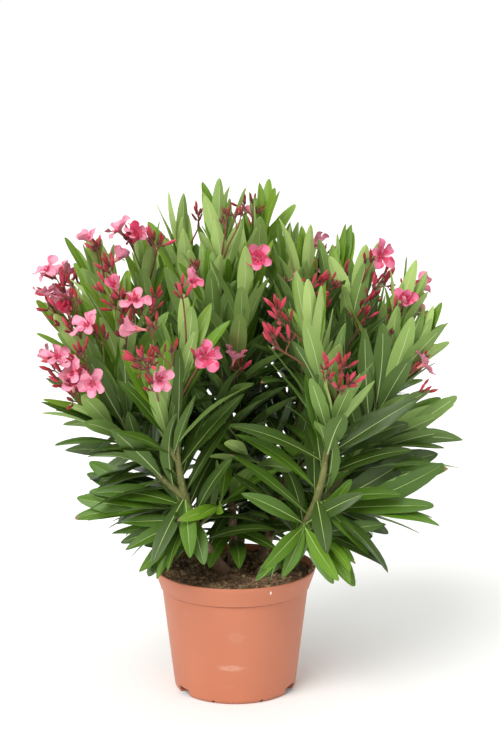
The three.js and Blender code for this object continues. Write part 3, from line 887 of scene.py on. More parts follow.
def put_flower(place, axis, size, openness, tint, rng):
    """A flower on its tube: five petals set like the sails of a pinwheel round a fringed throat."""
    line = place + np.outer(np.linspace(0, TUBE_LENGTH * size, 7), axis)
    flowers.put(tube_rings(line, TUBE_RADII * size, 10), TUBE)
    mouth = line[-1] - axis * HOLLOW
    spin = rng.uniform(0, 2 * math.pi)
    streak, face, edge = TINTS[tint]
    slots = np.empty((len(PETAL_STATIONS) - 1, 8), int)
    slots[:, :4] = face
    slots[:3, 1:3] = streak
    slots[:-2, 0] = edge
    slots[-1, :4] = edge
    slots[:, 4:] = DEEP if tint == "deep" else BACK
    for n in range(5):
        outward = spoke(axis, spin + n * math.tau / 5 + rng.uniform(-0.1, 0.1))
        lean = openness + rng.uniform(-0.3, 0.3)
        along = leaning(axis, outward, lean)
        upper = leaning(axis, -outward, math.pi / 2 - lean)
        bends = (rng.uniform(-0.6, 1.2), rng.uniform(0.3, 0.7), rng.uniform(-0.1, 1.1))
        petal, across = petal_rings(mouth + outward * THROAT_RADIUS * size * 0.8, along, upper,
                                    size * rng.uniform(0.86, 1.1), bends, rng.uniform(0, 6))
        flowers.put(petal, slots, across, PETAL_STATIONS * PETAL_LENGTH * size / MM)
        fringe = np.array([mouth + outward * THROAT_RADIUS * size * 0.7 + t * leaning(axis, outward, 0.35)
                           for t in np.array((0, 2.0, 4.4)) * MM * size])
        flowers.put(tube_rings(fringe, np.array((1.3, 1.1, 0.3)) * MM * size, 6), THROAT)
    heart = line[-3:] + axis * 0.4 * MM
    flowers.put(tube_rings(heart, np.array((0.8, 1.4, 1.0)) * MM * size, 6), THROAT)
    reach = PETAL_LENGTH * size
    round_about = np.array([
        mouth + spoke(axis, a) * reach * math.sin(openness) * FLOWER_TEST_REACH
        + axis * reach * math.cos(openness) * FLOWER_TEST_REACH
        for a in np.arange(6) * math.tau / 6
    ])
    CROWD.admit(Crowd.sheet(np.vstack((round_about, line[:1])), [(i, (i + 1) % 6, 6) for i in range(6)]))


def put_calyx(place, axis, size):
    """The small cup of pointed sepals under a flower or a bud."""
    line = place + np.outer(np.array((-1.6, -0.4, 1.2, 3.4)) * MM * size, axis)
    relief = np.zeros((4, 10))
    relief[3] = np.where(np.arange(10) % 2, 0.55, -0.1)
    buds.put(tube_rings(line, np.array((0.8, 1.5, 1.7, 1.45)) * MM * size, 10, relief), BUD_FOOT)


def put_bud(place, axis, length, ripe, rng):
    """A bud: a slender spindle with its petals rolled round it in a spiral."""
    s = np.array((0, 0.08, 0.2, 0.36, 0.52, 0.68, 0.82, 0.93, 1.0))
    lean = spoke(axis, rng.uniform(0, 6)) * length * 0.08
    line = place + np.outer(s * length, axis) + np.outer(s ** 2, lean)
    shape = np.sin(math.pi * np.clip(s * 0.96 + 0.03, 0, 1) ** 1.25) ** 0.75
    radii = np.maximum(shape * length * mix(0.14, 0.118, ripe), 0.25 * MM)
    angles = np.arange(10) * math.tau / 10
    relief = 0.1 * np.cos(2.5 * (angles[None] + 5 * s[:, None]))
    slots = np.full((8, 10), BUD_MAROON if ripe < 0.3 else BUD_CRIMSON if ripe < 0.72 else BUD_ROSE)
    slots[:1] = BUD_FOOT
    buds.put(tube_rings(line, radii, 10, relief), slots, None, s * length / MM)


def put_stalk(knots, radii, colour):
    """A stalk through some knots. radii are at its foot and at its end, in millimetres."""
    line = smooth_line(knots, 4 * MM)
    radii = mix(radii[0] * MM, radii[1] * MM, np.linspace(0, 1, len(line)))
    stalks.put(tube_rings(line, radii, 6), colour, None, lengths_along(line) / MM)
    return line


# Flower heads: the tuft each stands on, its place from that tuft's tip (right, up and to the front,
# in millimetres), the flowers that are open in it and their tint, and its buds.
YOUNG = "young"  # the tint of a head still in tight brown-red bud
HEADS = [
    ("leaves_far_left", 22, 0, 8, 1, "pale", 6),
    ("leaves_far_left", 15, -32, 18, 2, "pale", 5),
    ("leaves_far_left", 45, -50, 30, 1, "deep", 4),
    ("leaves_far_left", 70, -58, 44, 1, "pale", 2),
    ("leaves_low_left", 11, 4, 14, 1, "pale", 5),
    ("leaves_low_left", 40, 26, 30, 0, YOUNG, 4),
    ("leaves_far_left", 40, -20, 30, 0, YOUNG, 4),
    ("leaves_low_left", 49, -2, 26, 2, "pale", 3),
    ("leaves_low_left", 31, -22, 26, 2, "pale", 3),
    ("leaves_upper_left", 10, -12, 26, 1, "pale", 3),
    ("leaves_upper_left", 28, -32, 34, 1, "pink", 3),
    ("leaves_high_left", -10, -16, 40, 2, "pale", 3),
    ("leaves_high_left", 22, -18, 44, 1, "deep", 4),
    ("leaves_mid_left", -10, -14, 24, 0, "pink", 4),
    ("leaves_mid_left", 10, -56, 34, 0, YOUNG, 4),
    ("leaves_mid_left", 4, -26, 36, 1, "pink", 6),
    ("leaves_mid_left", 20, -42, 34, 1, "pale", 4),
    ("leaves_mid_left", 46, -32, 26, 0, "pink", 5),
    ("leaves_inner_left", -14, 4, 14, 1, "pink", 2),
    ("leaves_front_left", 12, 12, 12, 1, "pale", 2),
    ("leaves_front_left", 4, -16, 28, 0, "pink", 9),
    ("leaves_front_left", 16, -46, 26, 1, "pale", 2),
    ("leaves_front_left", 36, -16, 16, 0, "pink", 3),
    ("leaves_inner_left", 8, -66, 36, 1, "pink", 2),
    ("leaves_top_left", 34, -16, 12, 0, YOUNG, 3),
    ("leaves_top_front", -6, -42, 20, 0, YOUNG, 3),
    ("leaves_top_middle", 14, -36, 14, 0, YOUNG, 3),
    ("leaves_top_middle", 34, -36, 12, 0, YOUNG, 3),
    ("leaves_top_right", -14, -26, 14, 0, YOUNG, 4),
    ("leaves_middle", 10, -34, -16, 1, "pink", 1),
    ("leaves_middle", -20, -158, 26, 1, "pink", 2),
    ("leaves_inner_right", 14, -80, 44, 1, "pale", 6),
    ("leaves_upper_right", 14, -74, 38, 0, "pink", 7),
    ("leaves_upper_right", 26, -92, 34, 0, "pink", 4),
    ("leaves_upper_right", 36, -70, 34, 0, YOUNG, 4),
    ("leaves_front_right", -30, -36, 22, 0, "pink", 5),
    ("leaves_front_right", -36, -64, 24, 0, "pink", 5),
    ("leaves_high_right", 8, -60, 34, 0, "pink", 4),
    ("leaves_flowering_right", 2, -22, 18, 1, "pink", 2),
    ("leaves_flowering_right", 20, -40, 14, 0, "pink", 6),
    ("leaves_flowering_right", 4, -64, 26, 0, YOUNG, 4),
    ("leaves_flowering_right", -6, -86, 34, 0, "pink", 5),
    ("leaves_outer_right", -18, -46, 22, 2, "pink", 3),
    ("leaves_outer_right", 4, -70, 22, 0, "pink", 3),
    ("leaves_outer_right", -30, -66, 26, 0, YOUNG, 4),
    ("leaves_side_right", -28, -76, 22, 1, "pink", 2),
    ("leaves_side_right", -12, -58, 14, 0, "pink", 2),
    ("leaves_side_right", -16, -102, 16, 0, "pink", 2),
    ("leaves_low_right", -3, -18, 20, 0, "pink", 4),
    ("leaves_low_right", -24, -22, 14, 0, "pink", 4),
    ("leaves_low_right", 2, -38, 20, 0, "pink", 4),
    ("leaves_back_left", -10, -20, -6, 2, "pale", 4),
    ("leaves_back_left", 14, -50, -10, 1, "pink", 4),
    ("leaves_low_back_left", -4, -8, 12, 2, "pale", 4),
    ("leaves_low_back_left", 20, -30, -4, 1, "pink", 3),
    ("leaves_back", 8, -24, -4, 1, "pale", 5),
    ("leaves_back", -22, -52, -10, 0, "pink", 5),
    ("leaves_low_back", -12, -8, 14, 2, "pale", 5),
    ("leaves_low_back", 24, -32, 10, 0, "pink", 4),
    ("leaves_back_right", 6, -22, -4, 1, "pink", 5),
    ("leaves_back_right", -18, -48, -8, 1, "pale", 3),
    ("leaves_low_back_right", 8, -10, 12, 1, "pink", 4),
    ("leaves_side_left", -12, -10, -10, 2, "pale", 5),
    ("leaves_side_left", -8, -44, 18, 1, "pink", 4),
    ("leaves_outer_left", -14, -12, -14, 1, "pale", 4),
    ("leaves_outer_back", 14, -12, -14, 1, "pink", 5),
    ("leaves_outer_back", 10, -46, -18, 0, "pink", 4),
    ("leaves_side_back", 12, -14, -16, 1, "pink", 3),
]
BUD_CROWDING = 2.7  # buds in each head for every one that the list counts
BUDS_ON_ARM = 3.6
STALK_LENGTH = 62 * MM  # about how far below a head its stalk leaves the shoot
HEAD_DEPTH = 22 * MM  # from the fork of its arms to the place that the list gives a head
STALK_BOW = 5 * MM  # how far a stalk bends out of straight in its middle
STALK_RADII, ARM_RADII, FLOWER_STALK_RADII = (1.25, 1.0), (0.95, 0.75), (0.75, 0.6)  # mm
TURN_OF_ARMS = 2.4  # radians from each arm or flower to the next


def grow_head(number, entry):
    """A flower head: a stalk from the shoot, a few arms near its end, and flowers and buds on them."""
    tuft, right, up, front, open_count, tint, bud_count = entry
    shoot = SHOOTS[tuft]
    rng = random.Random(f"head {number}")
    fork = shoot["tip"] + np.array((right, -front, up)) * MM
    line = shoot["line"]
    below = fork - shoot["axis"] * STALK_LENGTH
    start = line[np.linalg.norm(line - below, axis=1).argmin()]
    rise = unit(fork - start)
    outer = unit(rise + 0.5 * shoot["axis"] + 0.35 * square_to(UP, fork * (1, 1, 0) + 1e-6) + 0.2 * UP)
    fork = fork - outer * HEAD_DEPTH
    middle = (start + fork) / 2 + (shoot["axis"] - outer) * STALK_BOW
    stalk = put_stalk([start, middle, fork], STALK_RADII, 0 if rng.random() < 0.75 else 1)
    total = open_count + round(bud_count * BUD_CROWDING)
    arms = []
    turn = rng.uniform(0, 6)
    for n in range(max(1, round(total / BUDS_ON_ARM))):
        turn += TURN_OF_ARMS
        foot = stalk[max(-1 - n, -4)]
        way = unit(leaning(outer, spoke(outer, turn), rng.uniform(0.35, 0.75) if n else 0.1))
        end = foot + way * rng.uniform(7, 15) * MM
        put_stalk([foot, foot + outer * 2 * MM + (end - foot) * 0.3, end], ARM_RADII, 0)
        arms.append((end, way))
    for n in range(total):
        turn += TURN_OF_ARMS
        is_open = n < open_count
        fork, arm_way = arms[n % len(arms)]
        lean = rng.uniform(0.2, 0.7) if is_open else rng.uniform(0.15, 0.95)
        way = unit(leaning(arm_way, spoke(arm_way, turn), lean))
        reach = rng.uniform(3, 9) * MM
        end = fork + way * reach
        way = unit(way + 0.25 * outer)
        put_stalk([fork, fork + arm_way * reach * 0.35 + (end - fork) * 0.15, end], FLOWER_STALK_RADII, 0)
        size = rng.uniform(0.86, 1.08)
        put_calyx(end, way, size * (1 if is_open else 0.8))
        if is_open:
            stray_way = np.array([rng.uniform(-1, 1) for _ in range(3)])
            face = unit(way + 0.75 * stray_way + 0.1 * FRONT * (1 if fork[1] < 0.06 else -1))
            openness = rng.choice((0.45, 0.75, 1.0, 1.2)) if tint != "deep" else 0.6
            put_flower(end, face, size, openness, tint, rng)
        else:
            ripe = rng.uniform(0, 0.5) if tint == YOUNG else rng.random()
            put_bud(end, way, mix(6, 18, ripe ** 0.7) * rng.uniform(0.85, 1.15) * MM, ripe, rng)


for number, entry in enumerate(HEADS):
    grow_head(number, entry)


# ---- leafing the shoots ----

def step_at(along, distance):
    """The number of a line's point at a distance along it."""
    return min(np.searchsorted(along, distance), len(along) - 1)


def whorl(place, axis, spin, want, rng):
    """Three leaves round a shoot."""
    for n in range(3):
        angle = spin + n * math.tau / 3 + rng.uniform(-0.15, 0.15)
        leaf = dict(want)
        leaf["length"] = want["length"] * rng.uniform(0.9, 1.08)
        leaf["width"] = want["width"] * rng.uniform(0.9, 1.1)
        leaf["lean"] = want["lean"] + rng.uniform(-0.16, 0.16)
        leaf["face"] = rng.choice(want["faces"])
        droop = want["droop"] + rng.uniform(-0.2, 0.2)
        leaf["bends"] = (droop, rng.uniform(-0.22, 0.22), rng.uniform(-0.5, 0.5))
        leaf["tries"] = attitudes(rng)
        leaf["dry"] = rng.random() < want["dry_share"]
        outward = spoke(axis, angle)
        if not (want.get("bare_front") and np.dot(outward, FRONT) > 0.6):
            put_leaf(place, axis, outward, leaf, rng)


SUNNY_SIDE = -0.03  # left of this the leaves show more of their bright upper sides and get lighter greens, a painted light
SUNNY_FACES = (-1.2, -0.6, 0.7, 1.1)
SHADED_FACES = (-1.2, -0.8, -0.3, 0.5)
CLOSE_LEAVED = ("leaves_upper_left", "leaves_high_left", "leaves_mid_left")  # tufts leafed closest
UNDER_BLOSSOM = ("leaves_far_left", "leaves_low_left")  # tufts whose heads stand over their leaves
MID_CROWN = 0.42  # height below which leaves get darker greens as painted shade, and above which brighter ones as painted light


def leaf_upright_tuft(shoot):
    """Leaves of an upright tuft: long and spreading below, short and steep round the tip."""
    rng = random.Random(shoot["name"])
    line = shoot["line"]
    along = lengths_along(line)
    ahead = headings(line)
    spin = rng.uniform(0, 2)
    sunny = shoot["foot"][0] < SUNNY_SIDE
    distance = along[-1] * 0.16
    while distance < along[-1]:
        t = distance / along[-1]
        index = step_at(along, distance)
        height = line[index][2]
        length = mix(110, 82, t ** 1.4) * rng.choice((1.0, 1.0, 0.84)) * MM
        if shoot["name"] in UNDER_BLOSSOM:
            length *= mix(1.0, 0.76, t)
        want = {
            "length": length,
            "width": length * mix(0.205, 0.215, t),
            "faces": SUNNY_FACES if sunny else SHADED_FACES,
            "lean": mix(0.8, 0.2, t ** 0.6),
            "droop": mix(0.35, 0.0, t),
            "fold": mix(0.2, 0.3, t),
            # Darker greens low on the shoot, partly for age and partly as painted shade in the gaps, and low
            # in the crown as painted shade; lighter greens high in the crown and on the sunny left as painted
            # light.
            "age_and_shade": mix(1.0, 0.12, t ** 0.85) - (height - MID_CROWN) * 0.5 - (0.12 if sunny else 0.0),
            "up": 0.25,
            "allow": 10 * MM,
            "dry_share": 0.0,
        }
        whorl(line[index], ahead[index], spin, want, rng)
        spin += math.pi / 3 + rng.uniform(-0.1, 0.1)
        distance += mix(21, 12, t) * MM * (0.7 if shoot["name"] in CLOSE_LEAVED else 1.0)


def leaf_spread_tuft(shoot):
    """Leaves of a low spreading tuft: large, dark, nearly level and arching over at their ends."""
    rng = random.Random(shoot["name"])
    line = shoot["line"]
    along = lengths_along(line)
    ahead = headings(line)
    spin = rng.uniform(0, 2)
    for t in (0.25, 0.6, 1.0):
        index = step_at(along, along[-1] * t)
        length = min(mix(136, 116, t) * MM, shoot["reach"] * mix(0.95, 0.84, t))
        want = {
            "length": length,
            "width": length * 0.215,
            "faces": (0.6, 1.0, 1.5),
            "lean": mix(0.95, 0.2, t),
            "droop": mix(0.62, 0.4, t),
            "fold": 0.24,
            "age_and_shade": mix(0.92, 0.5, t),
            "up": 1.2,
            "allow": 8 * MM,
            "dry_share": 0.09,
        }
        whorl(line[index], ahead[index], spin, want, rng)
        spin += math.pi / 3


BARE_FRONTS = ("stem_left", "stem_right", "bough_right")  # limbs that show between their leaves
BARE_BELOW = 0.3
LOW_AND_DENSE = 0.26
LOWEST_WHORL = 0.162


def leaf_limb(name):
    """Leaves along the upper part of a limb, between the tufts."""
    rng = random.Random(name + " leaves")
    line, _ = LIMBS[name]
    along = lengths_along(line)
    ahead = headings(line)
    bare = name in BARE_FRONTS
    spin = rng.uniform(0, 2)
    distance = along[-1] * 0.12
    while distance < along[-1]:
        index = step_at(along, distance)
        height = line[index][2]
        if height > LOWEST_WHORL:
            low = max(0.0, 1 - (height - LOWEST_WHORL) / (60 * MM))
            want = {
                "length": mix(108, 84, low) * MM,
                "width": mix(22, 18, low) * MM,
                "faces": (0.2, 0.7),
                "lean": mix(1.05, 1.55, low),
                "droop": mix(0.45, 0.8, low),
                "fold": 0.22,
                "age_and_shade": 0.92,
                "up": 0.9,
                "allow": 6 * MM,
                "dry_share": 0.03,
                "bare_front": bare and height < BARE_BELOW,
            }
            whorl(line[index], ahead[index], spin, want, rng)
        spin += math.pi / 3
        distance += (12 if height < LOW_AND_DENSE and not bare else 17) * MM


OLD_LEAF_HEIGHTS = (0.222, 0.246)
LOWEST_OLD_LEAVES = 0.2
# Lengths in millimetres, and leans and droops in radians, of the lowest old leaves and of the others.
LEVEL_LEAVES = {"length": (94, 116), "lean": (1.5, 1.8), "droop": (0.4, 0.8)}
HANGING_LEAVES = {"length": (72, 96), "lean": (1.95, 2.35), "droop": (0.1, 0.5)}


def hang_old_leaves(name):
    """The lowest leaves of a stem, which hang down over the pot, or stand out level at the very foot."""
    rng = random.Random(name + " old leaves")
    line, _ = LIMBS[name]
    for height in OLD_LEAF_HEIGHTS if name in BARE_FRONTS else (LOWEST_OLD_LEAVES,) + OLD_LEAF_HEIGHTS:
        index = np.abs(line[:, 2] - height).argmin()
        outer = square_to(UP, line[index] * (1, 1, 0))
        kind = LEVEL_LEAVES if height == LOWEST_OLD_LEAVES else HANGING_LEAVES
        for n in range(3):
            turn = (n - 1) * 0.95 + rng.uniform(-0.3, 0.3)
            heading = leaning(outer, np.cross(UP, outer), turn)
            leaf = {
                "length": rng.uniform(*kind["length"]) * MM,
                "width": rng.uniform(19, 24) * MM,
                "lean": rng.uniform(*kind["lean"]),
                "bends": (rng.uniform(*kind["droop"]), rng.uniform(-0.15, 0.15), rng.uniform(-0.3, 0.3)),
                "fold": 0.2,
                "age_and_shade": rng.uniform(0.66, 0.96),
                "up": 0.3,
                "face": 0.4,
                "allow": 25 * MM,
                "tries": attitudes(rng),
            }
            put_leaf(line[index], UP, heading, leaf, rng)


for name in STEMS:
    hang_old_leaves(name)
for shoot in SHOOTS.values():
    if shoot["spread"]:
        leaf_spread_tuft(shoot)
    else:
        leaf_upright_tuft(shoot)
for name in STEMS + BOUGHS:
    leaf_limb(name)


# ---- pot ----

POT_HEIGHT = pot_high.z
RIM = pot_high.x
BAND = 23.5 * MM
BAND_TAPER = 6.8 * MM
BAND_FOOT_RADIUS = RIM - BAND_TAPER
WALL_TOP_RADIUS = 85.5 * MM
STEP = 5.5 * MM
BASE_RADIUS = 72 * MM
CORNER = 5 * MM
WALL = 2.4 * MM
FLOOR = 3 * MM
POT_SIDES = 256
LIP = 1.8 * MM  # the rounding of the band's lower edge
UNDERCUT = 2.4 * MM  # how far below the band the wall draws in a little


def arc(centre, radius, start, end, count):
    """Points on an arc in the pot's profile, angles in degrees."""
    angles = np.radians(np.linspace(start, end, count))
    return [(centre[0] + radius * math.cos(a), centre[1] + radius * math.sin(a)) for a in angles]


def between(start, end, count):
    """Points between two places in the profile, without the ends."""
    return [(mix(start[0], end[0], t), mix(start[1], end[1], t)) for t in np.arange(1, count) / count]


def pot_profile():
    """The wall's outline from the middle of the underside, round the rim, to the middle of the floor."""
    band_foot = POT_HEIGHT - BAND
    wall_top = (WALL_TOP_RADIUS, band_foot - STEP)
    wall_foot = (BASE_RADIUS + 0.2 * MM, CORNER)
    outside = [(0, 0), (BASE_RADIUS * 0.5, 0)] + arc((BASE_RADIUS - CORNER, CORNER), CORNER, -90, 0, 8)
    outside += between(wall_foot, wall_top, 10) + [wall_top]
    outside += [(WALL_TOP_RADIUS - 0.3 * MM, band_foot - UNDERCUT)]
    outside += [(WALL_TOP_RADIUS, band_foot - 0.4 * MM)]
    outside += arc((BAND_FOOT_RADIUS - LIP, band_foot + 1.6 * MM), LIP, -88, 0, 8)
    outside += between((BAND_FOOT_RADIUS, band_foot + 1.6 * MM), (RIM, POT_HEIGHT - 2 * MM), 5)
    outside += arc((RIM - WALL / 2, POT_HEIGHT - WALL / 2), WALL / 2, 0, 180, 9)
    inside = between((RIM - WALL, POT_HEIGHT - 2 * MM), (BAND_FOOT_RADIUS - WALL, band_foot), 4)
    inside += [(WALL_TOP_RADIUS - WALL, band_foot - STEP), (BASE_RADIUS - WALL, FLOOR + 1.5 * MM)]
    inside += [(BASE_RADIUS - WALL - 1.5 * MM, FLOOR), (0, FLOOR)]
    return outside + inside


def lathe(name, profile, sides):
    """Turns a profile, which starts and ends on the axis, round the axis."""
    mesh = bmesh.new()
    columns = []
    for radius, height in profile:
        if radius == 0:
            columns.append([mesh.verts.new((0, 0, height))] * sides)
            continue
        angles = np.arange(sides) * math.tau / sides
        columns.append([mesh.verts.new((radius * math.cos(a), radius * math.sin(a), height)) for a in angles])
    for lower, upper in zip(columns, columns[1:]):
        for i in range(sides):
            k = (i + 1) % sides
            corners = list(dict.fromkeys((lower[i], lower[k], upper[k], upper[i])))
            mesh.faces.new(corners)
    bmesh.ops.recalc_face_normals(mesh, faces=mesh.faces)
    return settle(name, mesh)


def settle(name, mesh):
    """Turns a bmesh into an object of the scene."""
    data = bpy.data.meshes.new(name)
    mesh.to_mesh(data)
    mesh.free()
    piece = bpy.data.objects.new(name, data)
    bpy.context.scene.collection.objects.link(piece)
    return piece


# Where each opening is round the pot and how wide it is, in degrees, then its height and its depth.
NOTCHES = [(turn, 17, 9 * MM, 14 * MM) for turn in (-56, 64, 184)]
SLOTS = [(turn, 3.2, 3.5 * MM, 8 * MM) for turn in (-20, 26, 102, 146, 222, 266)]
CUTTER_STEPS = 9
END_HEIGHT = 0.82  # how high an opening is at its two ends, as a share of its height


def drain_cutter():
    """Curved blocks where the drainage notches and slots go through the foot of the wall."""
    mesh = bmesh.new()
    for turn, width, height, depth in NOTCHES + SLOTS:
        middle = math.radians(turn) - math.pi / 2
        half = math.radians(width / 2)
        inner, outer = BASE_RADIUS - depth, BASE_RADIUS + 6 * MM
        rows = []
        for i, angle in enumerate(np.linspace(middle - half, middle + half, CUTTER_STEPS)):
            top = height * (END_HEIGHT if i in (0, CUTTER_STEPS - 1) else 1)
            rows.append([mesh.verts.new((r * math.cos(angle), r * math.sin(angle), z))
                         for r, z in ((inner, -MM), (outer, -MM), (outer, top), (inner, top))])
        for a, b in zip(rows, rows[1:]):
            for i in range(4):
                k = (i + 1) % 4
                mesh.faces.new((a[i], a[k], b[k], b[i]))
        mesh.faces.new(rows[0][::-1])
        mesh.faces.new(rows[-1])
    bmesh.ops.recalc_face_normals(mesh, faces=mesh.faces)
    return settle("drain_cutter", mesh)


def make_pot():
    """The pot: the turned shell with its drainage openings cut through."""
    pot = lathe("pot_shell", pot_profile(), POT_SIDES)
    cutter = drain_cutter()
    cut = pot.modifiers.new("drains", "BOOLEAN")
    cut.operation = "DIFFERENCE"
    cut.object = cutter
    cut.solver = "EXACT"
    graph = bpy.context.evaluated_depsgraph_get()
    shaped = bpy.data.meshes.new_from_object(pot.evaluated_get(graph))
    pot.modifiers.clear()
    pot.data = shaped
    bpy.data.objects.remove(cutter)
    pot.data.materials.clear()
    pot.data.materials.append(moulded_polypropylene("polypropylene_terracotta"))
    pot.data.shade_smooth()
    pot.data.set_sharp_from_angle(angle=POT_EDGE)
    return pot


# ---- compost ----

compost_skin = skin_of(["soil"])
soil_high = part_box("soil")[1]
SOIL_RADIUS = RIM - WALL - BAND_TAPER * 8 * MM / BAND - 0.5 * MM
SOIL_RINGS = 56
SOIL_SIDES = 168
PEAT_LUMPS = ((1.5, 70), (1.0, 210), (0.6, 520))  # heights in mm, and how many lumps to the metre
SOIL_SEAT = 2 * MM  # how far above the foot of the band the underside of the modelled peat lies


def soil_height(x, y):
    """Height of the peat: the frame's own surface, roughened, and a little low against the wall."""
    reach = math.hypot(x, y)
    shrink = min(1.0, 0.97 * soil_high.x / max(reach, 1e-6))
    hit = compost_skin.ray_cast(Vector((x * shrink, y * shrink, 1)), Vector((0, 0, -1)))[0]
    level = hit.z if hit else soil_high.z - 3 * MM
    place = Vector((x, y, 0.0))
    rough = sum(size * noise.noise(place * many) for size, many in PEAT_LUMPS)
    return level + (rough - 1.2 * (reach / SOIL_RADIUS) ** 8) * MM


def make_soil():
    """The peat in the pot: a rough top with sides and an underside that the pot hides."""
    mesh = bmesh.new()
    angles = np.arange(SOIL_SIDES) * math.tau / SOIL_SIDES
    centre = mesh.verts.new((0, 0, soil_height(0, 0)))
    rings = []
    for n in range(1, SOIL_RINGS + 1):
        radius = SOIL_RADIUS * n / SOIL_RINGS
        places = [(radius * math.cos(a), radius * math.sin(a)) for a in angles]
        rings.append([mesh.verts.new((x, y, soil_height(x, y))) for x, y in places])
    low = POT_HEIGHT - BAND + SOIL_SEAT
    inner = BAND_FOOT_RADIUS - WALL - 0.6 * MM
    rings.append([mesh.verts.new((inner * math.cos(a), inner * math.sin(a), low)) for a in angles])
    bottom = mesh.verts.new((0, 0, low))
    for i in range(SOIL_SIDES):
        k = (i + 1) % SOIL_SIDES
        mesh.faces.new((centre, rings[0][i], rings[0][k]))
        mesh.faces.new((bottom, rings[-1][k], rings[-1][i]))
        for a, b in zip(rings, rings[1:]):
            mesh.faces.new((a[i], b[i], b[k], a[k]))
    bmesh.ops.recalc_face_normals(mesh, faces=mesh.faces)
    soil = settle("compost", mesh)
    soil.data.materials.append(damp_peat("peat_damp", "#5a4535", "#a5876a"))
    soil.data.shade_smooth()
    return soil


crumb_finishes = [
    damp_peat("peat_crumb_dark", "#4f3c2f", "#84694f"),
    damp_peat("peat_crumb_dry", "#8a6f55", "#b89c79"),
    damp_peat("bark_fibre_tan", "#7d6547", "#ab9270"),
]
DARK_CRUMB, DRY_CRUMB, FIBRE = range(3)
crumbs = Heap("peat_crumbs", crumb_finishes, "compost")
CRUMBS_ON_PEAT = 900
FIBRES_ON_PEAT = 150
CRUMBS_ON_RIM = 16


def put_crumb(place, size, slot, rng):
    """A lump of peat, uneven all round."""
    axis = unit(np.array([rng.uniform(-1, 1) for _ in range(3)]))
    line = place + np.outer(np.linspace(-0.5, 0.5, 5) * size * rng.uniform(1.0, 1.8), axis)
    radii = np.array((0.18, 0.44, 0.5, 0.4, 0.15)) * size
    relief = np.array([[rng.uniform(-0.3, 0.3) for _ in range(6)] for _ in range(5)])
    crumbs.put(tube_rings(line, radii, 6, relief), slot)


def put_fibre(x, y, rng):
    """A bent strand of root or bark lying on the peat."""
    heading = rng.uniform(0, math.tau)
    length = rng.uniform(6, 18) * MM
    knots = []
    for t in (-0.5, -0.15, 0.2, 0.5):
        heading += rng.uniform(-0.3, 0.3)
        px = x + math.cos(heading) * length * t
        py = y + math.sin(heading) * length * t
        knots.append((px, py, soil_height(px, py) + rng.uniform(0.2, 1.4) * MM))
    line = smooth_line(knots, 2.5 * MM)
    crumbs.put(tube_rings(line, np.full(len(line), rng.uniform(0.2, 0.45) * MM), 6), FIBRE)


def strew_crumbs():
    """Crumbs and fibres over the peat, and a few crumbs spilt on the right-hand part of the rim."""
    rng = random.Random("crumbs")
    for _ in range(CRUMBS_ON_PEAT):
        reach = SOIL_RADIUS * 0.985 * math.sqrt(rng.random())
        angle = rng.uniform(0, math.tau)
        x, y = reach * math.cos(angle), reach * math.sin(angle)
        size = rng.uniform(1.5, 5.4) * MM * (0.6 if rng.random() < 0.6 else 1)
        place = np.array((x, y, soil_height(x, y) + size * 0.12))
        put_crumb(place, size, DARK_CRUMB if rng.random() < 0.66 else DRY_CRUMB, rng)
    for _ in range(FIBRES_ON_PEAT):
        reach = SOIL_RADIUS * 0.88 * math.sqrt(rng.random())
        angle = rng.uniform(0, math.tau)
        put_fibre(reach * math.cos(angle), reach * math.sin(angle), rng)
    for _ in range(CRUMBS_ON_RIM):
        angle = math.radians(rng.uniform(-22, -4))
        place = np.array((math.cos(angle) * RIM, math.sin(angle) * RIM, POT_HEIGHT))
        place = place * (rng.uniform(0.955, 0.985), rng.uniform(0.955, 0.985), 1)
        place = place + UP * rng.uniform(0, 3) * MM
        put_crumb(place, rng.uniform(2, 4.5) * MM, rng.randrange(2), rng)


strew_crumbs()

# ---- putting it together ----

pot = make_pot()
soil = make_soil()
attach(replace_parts(pot, "pot"), "root")
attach(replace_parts(soil, "soil"), "root")

joined = {heap.name: heap.join() for heap in (woody, green, twigs, leaves, flowers, buds, stalks, crumbs)}
for pieces in joined.values():
    for piece in pieces:
        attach(piece, "root")
for piece in joined["stems"]:
    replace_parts(piece, *STEMS)
for piece in joined["boughs"]:
    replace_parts(piece, *BOUGHS)
for piece in joined["leaves"]:
    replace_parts(piece, *TUFTS)

# ---- floor and light ----

FLOOR_REACH = 40.0
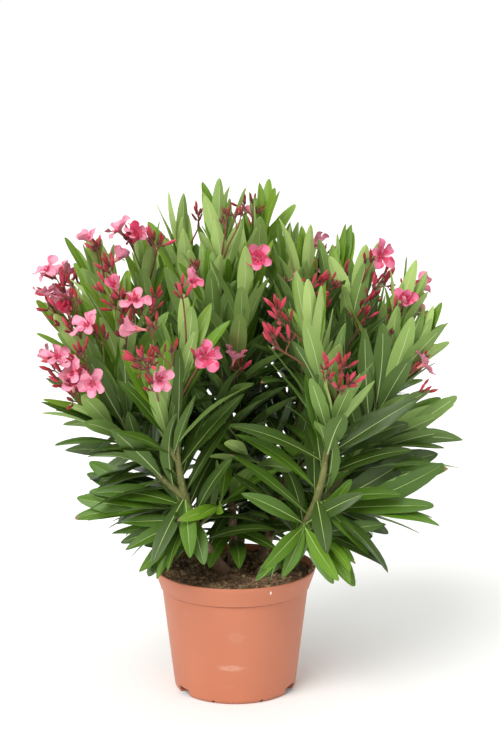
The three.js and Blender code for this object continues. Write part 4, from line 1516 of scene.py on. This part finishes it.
# Where each lamp stands, its strength, and how many degrees of the sky it fills.
LAMPS = {
    "key": ((-0.7, -1.0, 1.1), 2.5, 40),
    "overhead": ((0.1, 0.0, 1.0), 1.3, 80),
    "fill": ((1.0, -1.0, 0.5), 0.5, 60),
}


def make_floor():
    """A plain pale floor that runs back out of sight."""
    mesh = bmesh.new()
    bmesh.ops.create_grid(mesh, x_segments=8, y_segments=8, size=FLOOR_REACH)
    floor = settle("floor", mesh)
    material, tree = blank("floor_paint_white")
    grain = add(tree, "TexNoise", {"Scale": 60.0})
    rough = add(tree, "MapRange", {"To Min": 0.8, "To Max": 0.95}, {"Value": grain.outputs["Fac"]})
    shader = add(tree, "BsdfPrincipled", {"Base Color": linear("#f6f6f4"), "Specular IOR Level": 0.1},
                 {"Roughness": rough.outputs[0]})
    add(tree, "OutputMaterial", links={"Surface": shader.outputs[0]})
    floor.data.materials.append(material)


def add_sun(name, toward, strength, softness):
    """A broad soft source, so far off that it lights the floor evenly. toward is where it stands."""
    light = bpy.data.lights.new(name, "SUN")
    light.energy = strength
    light.angle = math.radians(softness)
    lamp = bpy.data.objects.new(name, light)
    lamp.rotation_euler = Vector(toward).to_track_quat("Z", "Y").to_euler()
    bpy.context.scene.collection.objects.link(lamp)


def make_studio():
    """A dim white room with a bright white wall behind the plant."""
    world = bpy.data.worlds.new("studio")
    world.use_nodes = True
    tree = world.node_tree
    tree.nodes.clear()
    place = add(tree, "TexCoord")
    parts = add(tree, "SeparateXYZ", links={0: place.outputs["Generated"]})
    glow = add(tree, "MapRange", {"From Min": 0.55, "From Max": 0.85, "To Min": 0.36, "To Max": 1.0},
               {"Value": parts.outputs["Y"]})
    light = add(tree, "Background", {"Color": (1.0, 1.0, 1.0, 1.0)}, {"Strength": glow.outputs[0]})
    add(tree, "OutputWorld", links={"Surface": light.outputs[0]})
    bpy.context.scene.world = world


make_floor()
make_studio()
for name, (toward, strength, softness) in LAMPS.items():
    add_sun(name, toward, strength, softness)
bpy.context.scene.view_settings.view_transform = "Standard"
